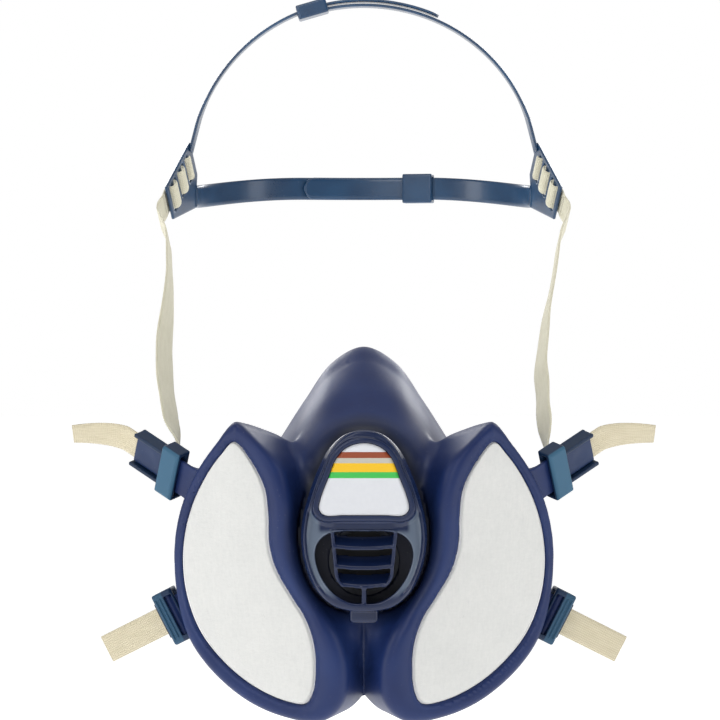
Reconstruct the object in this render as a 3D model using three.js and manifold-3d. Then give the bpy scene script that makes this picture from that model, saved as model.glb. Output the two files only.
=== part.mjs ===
// Half-mask respirator with two built-in filter pods, an elastic head harness and a neck strap.
// Units are millimetres, +Z is up, the mask looks along -Y, and +X is the wearer's left.
// The origin is the middle of the opening that seals on the face.
import * as THREE from 'three';
import { mergeVertices } from 'three/addons/utils/BufferGeometryUtils.js';
import Module from 'manifold-3d';

const wasm = await Module();
wasm.setup();

// ---------------------------------------------------------------- driving dimensions
const MASK_WIDTH = 166; // over both pods
const MASK_HEIGHT = 162; // nose bridge to the bottom of the pods
const MASK_DEPTH = 72; // face seal to the seat of the valve cover
const SEAL_WALL = 3.4; // soft wall of the nose cup
const CLEARANCE = 0.35; // between pieces that fit together

const POD_YAW = 25; // degrees that a pod looks outwards
const POD_PITCH = 7; // degrees that a pod looks down
const POD_DEPTH = 30; // thickness of a pod from its rim to its back
const POCKET_DEPTH = 22; // depth of the pocket for the filter
const CASE_WALL = 1.4;
const PAD_THICKNESS = 3.6;
const CARBON_DEPTH = 12;

const PORT_RADIUS = 11; // bore from a pod into the nose cup
const INHALE_SEAT_LENGTH = 3.6;
const FLAP_THICKNESS = 0.8;
const EXHALE_BORE_RADIUS = 15.5;
const EXHALE_SEAT_LENGTH = 4;
const EXHALE_Z = -6; // height of the exhalation valve

const COVER_DEPTH = 15.7; // how far the valve cover stands off its seat
const COVER_WALL = 2.2;
const BEZEL_RAISE = 1.2;
const LABEL_RECESS = 0.9;
const LOUVRE_BAR = 1.6;

const STRAP_WIDTH = 12.2;
const STRAP_THICKNESS = 1.0;
const TAIL_LENGTH = 56.5; // free end of the head elastic, from inside its buckle
const TAIL_FALL = 13; // how far its tip hangs below and in front of the buckle's own line
const TAIL_BEND = 1.3; // 1 would be a sharp bend at the buckle, and 2 an even curve
const NECK_TAIL_LENGTH = 41;
const LOWER_LIP = [2.6, 2.4]; // how far the lower buckle's lip stands out over the elastic, and its height

const BUCKLE_HEIGHT = 24; // across the strap
const BUCKLE_BLOCK = 8.6; // along the strap
const BUCKLE_THICKNESS = 8;
const CHANNEL_LENGTH = 17.5;
const CHANNEL_WALL = 1.8;
const CHANNEL_FLOOR = 1.6;
const LUG_PIN_RADIUS = 2;
const LUG_WEB = 1.6;

const CRADLE_HALF_WIDTH = 83.5; // of the crown arch
const CROWN_RISE = 78.6;
const CRADLE_THICKNESS = 1.4;
const CROWN_WIDTH = 10;
const BAND_HEIGHT = 11;
const BAND_DEPTH = 54; // how far the back band bows to the rear
const PANEL_HALF_WIDTH = 9;
const PANEL_LENGTH = 41;
const SLOT_COUNT = 5;
const SLOT_PITCH = 6.4;
const SLOT_WIDTH = 3.8;
const KEEPER_LENGTH = 15;
const KEEPER_WALL = 1.4;
const KEEPER_CLEARANCE = 0.6; // the straps are curved inside the straight loops

const AROUND = 48; // points round a large outline

// ---------------------------------------------------------------- small helpers
const radians = THREE.MathUtils.degToRad;
const vec = (x, y, z) => new THREE.Vector3(x, y, z);

/** Front-view points of the mask, stated for a mask 166 wide, 162 tall and 72 deep. */
const wide = (x) => (x * MASK_WIDTH) / 166;
const tall = (z) => (z * MASK_HEIGHT) / 162;
const deep = (y) => (y * MASK_DEPTH) / 72;

/** Closed smooth curve through flat points, as evenly spaced Vector2 points. */
function smoothOutline(points, count = AROUND) {
  const curve = new THREE.CatmullRomCurve3(points.map(([x, z]) => vec(x, z, 0)), true, 'centripetal');
  return curve.getSpacedPoints(count).slice(0, count).map((p) => new THREE.Vector2(p.x, p.y));
}

/** Moves a closed outline inwards by a distance, along its own normals. */
function inset(outline, distance) {
  const turn = THREE.ShapeUtils.area(outline) > 0 ? 1 : -1;
  return outline.map((p, i) => {
    const before = outline[(i + outline.length - 1) % outline.length];
    const after = outline[(i + 1) % outline.length];
    const along = after.clone().sub(before).normalize();
    return new THREE.Vector2(p.x - turn * along.y * distance, p.y + turn * along.x * distance);
  });
}

/** Solid made by joining rings that have the same number of points, with flat ends. */
function loft(rings) {
  const count = rings[0].length;
  const positions = rings.flat().flatMap((p) => [p.x, p.y, p.z]);
  const index = [];
  for (let r = 0; r < rings.length - 1; r += 1) {
    for (let i = 0; i < count; i += 1) {
      const a = r * count + i;
      const b = r * count + ((i + 1) % count);
      index.push(a, b, b + count, a, b + count, a + count);
    }
  }
  const last = (rings.length - 1) * count;
  for (const [ring, start, flip] of [[rings[0], 0, true], [rings.at(-1), last, false]]) {
    const middle = positions.length / 3;
    const centre = ring.reduce((sum, p) => sum.add(p), vec(0, 0, 0)).divideScalar(count);
    positions.push(centre.x, centre.y, centre.z);
    for (let i = 0; i < count; i += 1) {
      const a = start + i;
      const b = start + ((i + 1) % count);
      index.push(...(flip ? [middle, b, a] : [middle, a, b]));
    }
  }
  const geometry = new THREE.BufferGeometry();
  geometry.setAttribute('position', new THREE.Float32BufferAttribute(positions, 3));
  geometry.setIndex(index);
  return outwards(geometry);
}

/** Signed volume of a closed geometry. */
function volumeOf(geometry) {
  const p = geometry.getAttribute('position');
  const index = geometry.getIndex().array;
  const [a, b, c] = [vec(), vec(), vec()];
  let total = 0;
  for (let i = 0; i < index.length; i += 3) {
    a.fromBufferAttribute(p, index[i]);
    b.fromBufferAttribute(p, index[i + 1]);
    c.fromBufferAttribute(p, index[i + 2]);
    total += a.dot(b.cross(c)) / 6;
  }
  return total;
}

/** Turns the faces of a closed geometry so that they point out. */
function outwards(geometry) {
  if (volumeOf(geometry) < 0) {
    const index = geometry.getIndex().array;
    for (let i = 0; i < index.length; i += 3) {
      [index[i + 1], index[i + 2]] = [index[i + 2], index[i + 1]];
    }
  }
  return geometry;
}

/** Solid for joining and cutting, from any closed three.js geometry. */
function solid(geometry) {
  geometry.deleteAttribute('normal');
  geometry.deleteAttribute('uv');
  const merged = outwards(mergeVertices(geometry, 1e-4));
  return new wasm.Manifold(
    new wasm.Mesh({
      numProp: 3,
      vertProperties: new Float32Array(merged.getAttribute('position').array),
      triVerts: new Uint32Array(merged.getIndex().array),
    }),
  );
}

/** Geometry of a solid. */
function geometryOf(body) {
  const mesh = body.getMesh();
  const geometry = new THREE.BufferGeometry();
  geometry.setAttribute('position', new THREE.Float32BufferAttribute(mesh.vertProperties, 3));
  geometry.setIndex([...mesh.triVerts]);
  return geometry;
}

/** Copy of a geometry reflected to the other side of the mask. */
function reflected(geometry) {
  const copy = geometry.clone().scale(-1, 1, 1);
  const index = copy.getIndex().array;
  for (let i = 0; i < index.length; i += 3) {
    [index[i + 1], index[i + 2]] = [index[i + 2], index[i + 1]];
  }
  return copy;
}

/** Frame with an origin and two unit axes; the third axis is their cross product. */
function frameOf(origin, first, second) {
  const u = first.clone().normalize();
  const w = u.clone().cross(second).normalize();
  const v = w.clone().cross(u);
  return new THREE.Matrix4().makeBasis(u, v, w).setPosition(origin);
}

/** Box between two corners of a frame. */
function boxIn(frame, low, high) {
  const size = high.map((value, i) => value - low[i]);
  const geometry = new THREE.BoxGeometry(...size);
  geometry.translate(...high.map((value, i) => (value + low[i]) / 2));
  return solid(geometry.applyMatrix4(frame));
}

/** Round bar along the frame's own Y axis, centred on a point of the frame. */
function barIn(frame, radius, length, at = [0, 0, 0], sides = 20) {
  const geometry = new THREE.CylinderGeometry(radius, radius, length, sides);
  geometry.translate(...at);
  return solid(geometry.applyMatrix4(frame));
}

/** Leaves out the points of an outline that lie on a straight line between their neighbours. */
function withoutStraights(outline) {
  return outline.filter((p, i) => {
    const before = outline[(i + outline.length - 1) % outline.length];
    const after = outline[(i + 1) % outline.length];
    return Math.abs(THREE.ShapeUtils.area([before, p, after])) > 0.004;
  });
}

/** Flat outline pushed along a frame's third axis, from one height to another. */
function plateIn(frame, outline, from, to, bevel = 0) {
  const geometry = new THREE.ExtrudeGeometry(new THREE.Shape(withoutStraights(outline)), {
    depth: to - from - 2 * bevel,
    steps: 1,
    bevelEnabled: bevel > 0,
    bevelSize: bevel,
    bevelThickness: bevel,
    bevelOffset: -bevel,
    bevelSegments: 3,
  });
  geometry.translate(0, 0, from + bevel);
  return solid(geometry.applyMatrix4(frame));
}

/** Flat strip with a rectangular section that follows points, each with its width direction. */
function ribbon(stations, width, thickness) {
  const rings = stations.map(({ at, across, scale = 1 }, i) => {
    const before = stations[Math.max(i - 1, 0)].at;
    const after = stations[Math.min(i + 1, stations.length - 1)].at;
    const along = after.clone().sub(before).normalize();
    const thick = along.clone().cross(across).normalize();
    const side = thick.clone().cross(along);
    const half = (width / 2) * scale;
    return [[-1, -1], [1, -1], [1, 1], [-1, 1]].map(([s, t]) => at
      .clone()
      .addScaledVector(side, s * half)
      .addScaledVector(thick, (t * thickness) / 2));
  });
  return loft(rings);
}

/** Ring of rectangular section round a frame's third axis. */
function ringIn(frame, inner, outer, from, to, sides = 36) {
  const profile = [[inner, from], [outer, from], [outer, to], [inner, to], [inner, from]];
  const geometry = new THREE.LatheGeometry(profile.map(([r, h]) => new THREE.Vector2(r, h)), sides);
  geometry.rotateX(Math.PI / 2);
  return solid(geometry.applyMatrix4(frame));
}

/** Disc round a frame's third axis. */
function discIn(frame, radius, from, to, at = [0, 0], sides = 36) {
  const geometry = new THREE.CylinderGeometry(radius, radius, to - from, sides);
  geometry.rotateX(Math.PI / 2);
  geometry.translate(at[0], at[1], (from + to) / 2);
  return solid(geometry.applyMatrix4(frame));
}

// ---------------------------------------------------------------- assembly and materials
const respirator = new THREE.Group();
respirator.name = 'respirator';

const MATERIALS = {
  softNavy: { color: 0x2c3869, roughness: 0.55, metalness: 0 },
  glossNavy: { color: 0x202a4c, roughness: 0.25, metalness: 0 },
  buckleBlue: { color: 0x3a5a80, roughness: 0.4, metalness: 0 },
  cradleBlue: { color: 0x23476b, roughness: 0.35, metalness: 0 },
  felt: { color: 0xe6e6e3, roughness: 0.95, metalness: 0 },
  elastic: { color: 0xd9d5bd, roughness: 0.9, metalness: 0 },
  caseGrey: { color: 0x4a5266, roughness: 0.6, metalness: 0 },
  carbon: { color: 0x1b1b1d, roughness: 1, metalness: 0 },
  silicone: { color: 0xd8c9a6, roughness: 0.5, metalness: 0 },
  label: { color: 0xe8eaed, roughness: 0.5, metalness: 0 },
};

/** Adds one named piece to the assembly. */
function addPiece(name, geometry, materialName) {
  const material = new THREE.MeshStandardMaterial(MATERIALS[materialName]);
  const mesh = new THREE.Mesh(geometry, material);
  mesh.name = name;
  respirator.add(mesh);
}

/** Adds a piece and its reflection. */
function addPair(name, body, materialName) {
  const geometry = body.getMesh ? geometryOf(body) : body;
  addPiece(`${name}_left`, geometry, materialName);
  addPiece(`${name}_right`, reflected(geometry), materialName);
}

// ---------------------------------------------------------------- pod frame and outlines
const POD_ROOT = vec(wide(38), deep(-72) - 6, 0);
const podNormal = vec(
  Math.sin(radians(POD_YAW)) * Math.cos(radians(POD_PITCH)),
  -Math.cos(radians(POD_YAW)) * Math.cos(radians(POD_PITCH)),
  -Math.sin(radians(POD_PITCH)),
);
const podAcross = vec(Math.cos(radians(POD_YAW)), Math.sin(radians(POD_YAW)), 0);
const podUp = podNormal.clone().cross(podAcross);
const podFrame = new THREE.Matrix4().makeBasis(podAcross, podUp, podNormal).setPosition(POD_ROOT);

/** Front-view point (x, z) carried onto the plane of the pod's rim. */
function onPod([x, z]) {
  const v = (tall(z) - POD_ROOT.z) / podUp.z;
  const u = (wide(x) - POD_ROOT.x - v * podUp.x) / podAcross.x;
  return [u, v];
}

const podOutline = smoothOutline([
  [55, 54], [64, 44], [73, 31], [80, 15], [82.9, -6], [78.7, -36.4], [69.6, -52.2], [52.6, -67],
  [35.5, -74], [19.6, -75.2], [11, -67], [9, -54], [12.5, -40], [21, -25], [29, -9], [32, 6],
  [33, 20], [37.5, 35], [45.5, 48],
].map(onPod));

const padOutline = smoothOutline([
  [56, 45.2], [48.3, 36.5], [42.7, 25.1], [41.2, 13.7], [40.8, 1.2], [37.9, -9.6], [31.3, -21],
  [25, -31.2], [21.6, -41.5], [20.8, -51], [21.8, -62], [25, -67.6], [34, -67], [48.4, -60.8],
  [60.9, -51.1], [71.2, -38.6], [77, -24.5], [79.2, -9.6], [78.2, 4.6], [74.5, 18.2], [68.3, 30.7],
  [61.5, 40],
].map(onPod));

const portPlace = onPod([52, -8]);
const portFrame = podFrame.clone().multiply(new THREE.Matrix4().makeTranslation(...portPlace, 0));

// ---------------------------------------------------------------- buckle frames
/** Frame of a buckle: X along the strap, Y across it, Z out of its front face. */
const UPPER_BUCKLE_AT = vec(wide(84.4), deep(-72) + 22, tall(32));
const upperBuckle = frameOf(UPPER_BUCKLE_AT, vec(0.738, 0.49, 0.461), vec(-0.181, -0.49, 0.851));
const LOWER_BUCKLE_AT = vec(wide(83.4), deep(-72) + 27, tall(-31.8));
const lowerBuckle = frameOf(LOWER_BUCKLE_AT, vec(0.85, 0.29, -0.44), vec(0.4, 0, 0.92));

// ---------------------------------------------------------------- facepiece
/** One ring of the nose cup at a depth, from the right half of its outline. */
function cupRing(y, half) {
  const left = half.slice(1, -1).reverse().map(([x, z]) => [-x, z]);
  const outline = smoothOutline([...half, ...left].map(([x, z]) => [wide(x), tall(z)]));
  return outline.map((p) => vec(p.x, y, p.y));
}

const CUP_OUTSIDE = [
  [0, [[0, 85], [12, 77], [22, 62], [36, 42], [50, 18], [56, -8],
    [53, -32], [40, -50], [20, -58], [0, -59]]],
  [-10, [[0, 86.5], [14, 79.5], [26, 62.6], [38, 44], [52, 20], [59, -8],
    [56, -34], [43, -54], [22, -61], [0, -60]]],
  [-25, [[0, 80], [14, 74], [25, 62], [35, 47], [50, 24], [57, -6],
    [54, -34], [42, -55], [22, -62], [0, -60]]],
  [-45, [[0, 68], [13, 65], [23, 57], [31, 46], [40, 24], [44, 0],
    [40, -30], [30, -54], [16, -61], [0, -60]]],
  [-60, [[0, 57], [12, 55], [21, 49], [28, 39], [33, 20], [35, 0],
    [31, -26], [22, -46], [12, -57], [0, -58.5]]],
  [-72, [[0, 50.5], [10, 48], [18, 41], [24, 28], [28, 12], [29, 0],
    [26, -18], [18, -34], [9, -42], [0, -44]]],
];

const CUP_INSIDE = [
  [2, [[0, 72], [9, 64], [18, 48], [30, 30], [41, 8], [43, -14],
    [38, -32], [24, -44], [10, -48], [0, -48.5]]],
  [-4, [[0, 72], [9, 64], [18, 48], [30, 30], [41, 8], [43, -14],
    [38, -32], [24, -44], [10, -48], [0, -48.5]]],
  [-11, [[0, 86.5], [14, 79.5], [26, 62.6], [38, 44], [52, 20], [59, -8],
    [56, -34], [43, -54], [22, -61], [0, -60]]],
  [-25, [[0, 80], [14, 74], [25, 62], [35, 47], [50, 24], [57, -6],
    [54, -34], [42, -55], [22, -62], [0, -60]]],
  [-39, [[0, 71], [12, 67], [22, 58], [30, 46], [40, 25], [45, 0],
    [41, -30], [31, -53], [17, -60.5], [0, -60]]],
  [-51, [[0, 62], [11, 60], [19, 52], [24, 40], [28, 22], [29, 0],
    [26, -26], [19, -46], [11, -57], [0, -58]]],
  [-62, [[0, 53], [9, 50], [15, 43], [18, 30], [20, 14], [20, 0],
    [18, -20], [13, -37], [8, -46], [0, -48]]],
  [-67.5, [
    [0, 43], [6, 41], [11, 34], [14, 22], [15, 8], [15, -2], [14, -16], [10, -28], [5, -35], [0, -36],
  ]],
];

function makeFacepiece() {
  const outside = solid(loft(CUP_OUTSIDE.map(([y, half]) => cupRing(deep(y), half))));
  // The walls follow the outside, except at the in-turned lip that seals on the face.
  const inside = solid(loft(CUP_INSIDE.map(([y, half], i) => {
    const ring = cupRing(deep(y), half);
    if (i < 2) {
      return ring;
    }
    const flat = inset(ring.map((p) => new THREE.Vector2(p.x, p.z)), SEAL_WALL);
    return flat.map((p, k) => vec(p.x, ring[k].y, p.y));
  })));
  const pod = plateIn(podFrame, podOutline, -POD_DEPTH, 0, 2.4);
  const pocket = plateIn(podFrame, padOutline, -POCKET_DEPTH, 4);
  const port = discIn(portFrame, PORT_RADIUS, -POCKET_DEPTH - 24, -POCKET_DEPTH + 2);
  let body = outside;
  for (const turn of [1, -1]) {
    const side = (piece) => (turn > 0 ? piece : solid(reflected(geometryOf(piece))));
    body = body.add(side(pod));
    body = body.add(side(makeLug(upperBuckle)));
    body = body.add(side(makeLug(lowerBuckle)));
  }
  for (const turn of [1, -1]) {
    const side = (piece) => (turn > 0 ? piece : solid(reflected(geometryOf(piece))));
    body = body.subtract(side(pocket)).subtract(side(port));
  }
  const well = plateIn(coverFrame, inset(coverOutline, -COVER_GAP), 0, COVER_DEPTH + 20);
  const tabHalf = TAB_HALF_WIDTH + CLEARANCE;
  const tabWellLow = [-tabHalf, tall(TAB_LOW) - CLEARANCE, TAB_BACK - CLEARANCE];
  const tabWell = boxIn(coverFrame, tabWellLow, [tabHalf, tall(-20), 40]);
  body = body.subtract(inside).subtract(well).subtract(tabWell);
  const bore = discIn(exhaleFrame, EXHALE_BORE_RADIUS, -EXHALE_SEAT_LENGTH - 4, 4);
  return body.subtract(bore);
}

/** Web and round pin that a buckle swings on. */
function makeLug(frame) {
  const reach = 17;
  const pin = barIn(frame, LUG_PIN_RADIUS, BUCKLE_HEIGHT - 4, [LUG_AT, 0, 0]);
  const web = boxIn(frame, [LUG_AT - reach, -8, -LUG_WEB / 2], [LUG_AT, 8, LUG_WEB / 2]);
  return pin.add(web);
}
const LUG_AT = -1.2; // place of the pin along the strap, from the middle of the buckle block

// ---------------------------------------------------------------- exhalation valve and its cover
const COVER_SEAT_Y = deep(-72);
const COVER_GAP = 1.6; // moat between the cover and the soft walls round it
const TAB_HALF_WIDTH = 6.2;
const TAB_LOW = -32.5;
const TAB_BACK = 6;
/** X to the wearer's left, Y up, Z forwards, at the middle of the valve. */
const exhaleFrame = new THREE.Matrix4()
  .makeBasis(vec(1, 0, 0), vec(0, 0, 1), vec(0, -1, 0))
  .setPosition(0, COVER_SEAT_Y, tall(EXHALE_Z));
/** The same axes at the height of the origin. */
const coverFrame = new THREE.Matrix4()
  .makeBasis(vec(1, 0, 0), vec(0, 0, 1), vec(0, -1, 0))
  .setPosition(0, COVER_SEAT_Y, 0);

/** Outline from its right half, top point first. */
function symmetric(half, count = AROUND) {
  const left = half.slice(1, -1).reverse().map(([x, z]) => [-x, z]);
  return smoothOutline([...half, ...left].map(([x, z]) => [wide(x), tall(z)]), count);
}

const coverOutline = symmetric([
  [0, 50.5], [8, 48.6], [14.5, 43], [19.5, 34], [23.6, 23], [26.4, 12], [27, 3], [25.2, -8],
  [20.6, -18], [13, -24.8], [5, -27], [0, -27.2],
]);
const openingOutline = symmetric([
  [0, 7.2], [9, 7.2], [15.5, 6], [19.6, 2.4], [21, -3],
  [18.8, -11.5], [13.4, -19], [6.4, -23.2], [0, -23.8],
]);
const windowOutline = symmetric([
  [0, 45.2], [7, 43.4], [11.6, 39], [15.4, 30], [18.8, 21], [19.4, 16.4], [17, 14], [9, 14], [0, 14],
]);

function makeExhaleSeat() {
  const outer = EXHALE_BORE_RADIUS - CLEARANCE;
  let seat = ringIn(exhaleFrame, outer - 3.4, outer, -EXHALE_SEAT_LENGTH, -CLEARANCE);
  for (const angle of [0, 60, 120]) {
    const turned = exhaleFrame.clone().multiply(new THREE.Matrix4().makeRotationZ(radians(angle)));
    seat = seat.add(boxIn(turned, [-outer + 1, -0.8, -EXHALE_SEAT_LENGTH], [outer - 1, 0.8, -2]));
  }
  return seat;
}

function makeExhaleFlap() {
  const radius = EXHALE_BORE_RADIUS - 2.5;
  const flap = discIn(exhaleFrame, radius, 0, FLAP_THICKNESS);
  const hingeStrip = boxIn(exhaleFrame, [-4, radius - 2, 0], [4, radius + 0.6, FLAP_THICKNESS]);
  return flap.add(hingeStrip);
}

function makeValveCover() {
  const front = COVER_DEPTH;
  const shell = plateIn(coverFrame, coverOutline, CLEARANCE, front, 1.6);
  const hollow = plateIn(coverFrame, inset(coverOutline, COVER_WALL), -2, front - COVER_WALL);
  const bezel = plateIn(coverFrame, inset(windowOutline, -2), front - 1, front + BEZEL_RAISE);
  const recess = plateIn(coverFrame, windowOutline, front + BEZEL_RAISE - LABEL_RECESS, front + 4);
  const opening = plateIn(coverFrame, openingOutline, front - 4, front + 4);
  let cover = shell.subtract(hollow).add(bezel).subtract(recess).subtract(opening);

  // The grille: two side rails, three louvres with sloping shelves behind them, and a post.
  const basketHalf = (z) => wide(12.6 + (z - 6) * 0.13);
  const back = front - 6;
  const railDepth = [back, front - 0.2];
  for (const sign of [-1, 1]) {
    const top = 8.4;
    const bottom = -16.2;
    const rail = [
      [sign * basketHalf(top), top], [sign * (basketHalf(top) - LOUVRE_BAR), top],
      [sign * (basketHalf(bottom) - LOUVRE_BAR), bottom], [sign * basketHalf(bottom), bottom],
    ].map(([x, z]) => new THREE.Vector2(x, tall(z)));
    cover = cover.add(plateIn(coverFrame, rail, ...railDepth));
  }
  for (const z of [0.7, -7.8, -15.6]) {
    const half = basketHalf(z) - 0.4;
    const low = tall(z) - LOUVRE_BAR / 2;
    cover = cover.add(boxIn(coverFrame, [-half, low, back], [half, low + LOUVRE_BAR, front - 0.2]));
  }
  const post = [tall(-26), tall(-15)];
  cover = cover.add(boxIn(coverFrame, [-1, post[0], back], [1, post[1], front - 0.2]));

  // The clip tab that holds the bottom of the cover.
  const tabHigh = [TAB_HALF_WIDTH, tall(-26), TAB_BACK + 4];
  const tab = boxIn(coverFrame, [-TAB_HALF_WIDTH, tall(TAB_LOW), TAB_BACK], tabHigh);
  return cover.add(tab);
}

function makeLabel() {
  const outline = inset(windowOutline, CLEARANCE);
  const base = COVER_DEPTH + BEZEL_RAISE - LABEL_RECESS + CLEARANCE;
  return plateIn(coverFrame, outline, base, base + 0.4);
}

// ---------------------------------------------------------------- filters
function makeCase() {
  const top = -PAD_THICKNESS - CLEARANCE;
  const floor = -POCKET_DEPTH + CLEARANCE;
  const outer = plateIn(podFrame, inset(padOutline, CLEARANCE), floor, top);
  const inner = plateIn(podFrame, inset(padOutline, CLEARANCE + CASE_WALL), floor + CASE_WALL, top + 1);
  const port = discIn(portFrame, PORT_RADIUS - 3, floor - 1, floor + CASE_WALL + 1);
  return outer.subtract(inner).subtract(port);
}

function makeCarbonBed() {
  const low = -POCKET_DEPTH + CASE_WALL + 2 * CLEARANCE + 2;
  const outline = inset(padOutline, 2 * CLEARANCE + CASE_WALL);
  return plateIn(podFrame, outline, low, low + CARBON_DEPTH);
}

function makePad() {
  const outline = inset(padOutline, CLEARANCE);
  return plateIn(podFrame, outline, -PAD_THICKNESS, 0.2, 0.5);
}

function makeInhaleSeat() {
  const top = -POCKET_DEPTH - CLEARANCE;
  const outer = PORT_RADIUS - CLEARANCE;
  let seat = ringIn(portFrame, outer - 2.6, outer, top - INHALE_SEAT_LENGTH, top);
  for (const angle of [0, 90]) {
    const turned = portFrame.clone().multiply(new THREE.Matrix4().makeRotationZ(radians(angle)));
    seat = seat.add(boxIn(turned, [-outer + 1, -0.7, top - 2.4], [outer - 1, 0.7, top - 0.8]));
  }
  return seat;
}

function makeInhaleFlap() {
  const top = -POCKET_DEPTH - 2 * CLEARANCE - INHALE_SEAT_LENGTH;
  return discIn(portFrame, PORT_RADIUS - 1.6, top - FLAP_THICKNESS, top);
}

// ---------------------------------------------------------------- buckles and strap ends
/** Buckle block with the groove that clips over a lug's pin. */
function makeBlock(frame) {
  const half = [BUCKLE_BLOCK / 2, BUCKLE_HEIGHT / 2, BUCKLE_THICKNESS / 2];
  const groove = LUG_PIN_RADIUS + CLEARANCE;
  const mouth = groove - 0.65;
  const block = boxIn(frame, half.map((h) => -h), half);
  return block
    .subtract(barIn(frame, groove, BUCKLE_HEIGHT + 2, [LUG_AT, 0, 0]))
    .subtract(boxIn(frame, [-half[0] - 1, -half[1] - 1, -mouth], [LUG_AT, half[1] + 1, mouth]));
}

/** Upper buckle: the block with an open channel for the elastic and its grip plate. */
function makeUpperBuckle(frame) {
  const low = -BUCKLE_THICKNESS / 2;
  const start = BUCKLE_BLOCK / 2 - 1;
  const end = BUCKLE_BLOCK / 2 + CHANNEL_LENGTH;
  const inner = STRAP_WIDTH / 2 + CLEARANCE;
  const outer = inner + CHANNEL_WALL;
  let body = makeBlock(frame).add(boxIn(frame, [start, -outer, low], [end, outer, low + CHANNEL_FLOOR]));
  for (const [from, to] of [[inner, outer], [-outer, -inner]]) {
    body = body.add(boxIn(frame, [start, from, low], [end, to, -low - 1]));
  }
  return body;
}

/** Lower buckle: the block with a closed tunnel behind it and a lip over the elastic. */
function makeLowerBuckle(frame) {
  const half = BUCKLE_BLOCK / 2;
  const rear = -BUCKLE_THICKNESS / 2;
  const inner = STRAP_WIDTH / 2 + CLEARANCE;
  const outer = inner + CHANNEL_WALL;
  const tunnel = STRAP_THICKNESS + 2 * CLEARANCE;
  const bar = boxIn(frame, [-half, -outer, rear - tunnel - CHANNEL_FLOOR], [half, outer, rear - tunnel]);
  const lip = boxIn(frame, [half - 1, -outer, rear], [half + LOWER_LIP[0], outer, rear + LOWER_LIP[1]]);
  let body = makeBlock(frame).add(bar).add(lip);
  for (const [from, to] of [[inner, outer], [-outer, -inner]]) {
    body = body.add(boxIn(frame, [-half, from, rear - tunnel - 0.5], [half, to, rear + 0.5]));
  }
  return body;
}

/** Grip plate that lies in a buckle's channel above the elastic. */
function makeLever(frame) {
  const half = STRAP_WIDTH / 2;
  const start = BUCKLE_BLOCK / 2 + 1.6;
  const end = BUCKLE_BLOCK / 2 + CHANNEL_LENGTH - 0.6;
  return boxIn(frame, [start, -half, LEVER_LOW], [end, half, LEVER_LOW + 1.6]);
}
const UPPER_TAIL_LOW = -BUCKLE_THICKNESS / 2 + CHANNEL_FLOOR + CLEARANCE;
const LOWER_TAIL_LOW = -BUCKLE_THICKNESS / 2 - CLEARANCE - STRAP_THICKNESS;
const LEVER_LOW = UPPER_TAIL_LOW + STRAP_THICKNESS + CLEARANCE;

/** Free end of the elastic: straight in its buckle, then falling and leaning over towards its tip. */
function makeTail(frame, start, low, length, fall, lean) {
  const middle = low + STRAP_THICKNESS / 2;
  const square = vec(0, 1, 0).transformDirection(frame);
  const stations = [0, 0.2, 0.35, 0.42, 0.5, 0.6, 0.7, 0.8, 0.9, 1].map((t) => {
    const beyond = Math.max(t - 0.42, 0) / 0.58;
    const at = vec(start + t * length, 0, middle).applyMatrix4(frame);
    at.addScaledVector(vec(0, -1, -1), fall * beyond ** TAIL_BEND);
    return { at, across: square.clone().lerp(lean ?? square, beyond).normalize() };
  });
  return ribbon(stations, STRAP_WIDTH, STRAP_THICKNESS);
}

// ---------------------------------------------------------------- cradle
/** Panel of the cradle: X to the rear and in, Y up the panel, for the wearer's left side. */
const PANEL_START = vec(CRADLE_HALF_WIDTH + 9, 90, 155);
const PANEL_TURN = 17; // degrees that the panel closes in towards the rear
const PANEL_SLOPE = 34.5; // degrees that the woven strap climbs to the rear
const rearwards = vec(-Math.sin(radians(PANEL_TURN)), Math.cos(radians(PANEL_TURN)), 0);
const strapRun = rearwards.clone().multiplyScalar(Math.cos(radians(PANEL_SLOPE)));
strapRun.z = Math.sin(radians(PANEL_SLOPE));
const strapAcross = rearwards.clone().multiplyScalar(-Math.sin(radians(PANEL_SLOPE)));
strapAcross.z = Math.cos(radians(PANEL_SLOPE));
const panelFrame = frameOf(PANEL_START, strapRun, strapAcross);
const SLOT_FIRST = 5.2;
const BAND_START = 38; // where the back band leaves the panel, behind the panel's front
const BAND_LOW = 160; // middle of the band where it leaves the panel
const BAND_RISE = 6; // how much higher its middle is at the back

/** A place behind the panel's front and at a height, in the panel's own flat axes. */
function inPanel(behind, height) {
  const slope = radians(PANEL_SLOPE);
  const up = height - PANEL_START.z;
  return [
    behind * Math.cos(slope) + up * Math.sin(slope),
    -behind * Math.sin(slope) + up * Math.cos(slope),
  ];
}

function makePanel() {
  const half = PANEL_HALF_WIDTH;
  const thick = CRADLE_THICKNESS / 2;
  const low = inPanel(BAND_START, BAND_LOW - BAND_HEIGHT / 2);
  const high = inPanel(BAND_START, BAND_LOW + BAND_HEIGHT / 2);
  const outline = [[0, half], [0, -half], low, high, [PANEL_LENGTH, -half], [PANEL_LENGTH, half]];
  let panel = plateIn(panelFrame, outline.map(([u, v]) => new THREE.Vector2(u, v)), -thick, thick);
  const slotHalf = STRAP_WIDTH / 2 + CLEARANCE + 0.3;
  for (let i = 0; i < SLOT_COUNT; i += 1) {
    const at = SLOT_FIRST + i * SLOT_PITCH;
    const half = SLOT_WIDTH / 2;
    const slot = boxIn(panelFrame, [at - half, -slotHalf, -3], [at + half, slotHalf, 3]);
    panel = panel.subtract(slot);
  }
  return panel;
}

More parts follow.
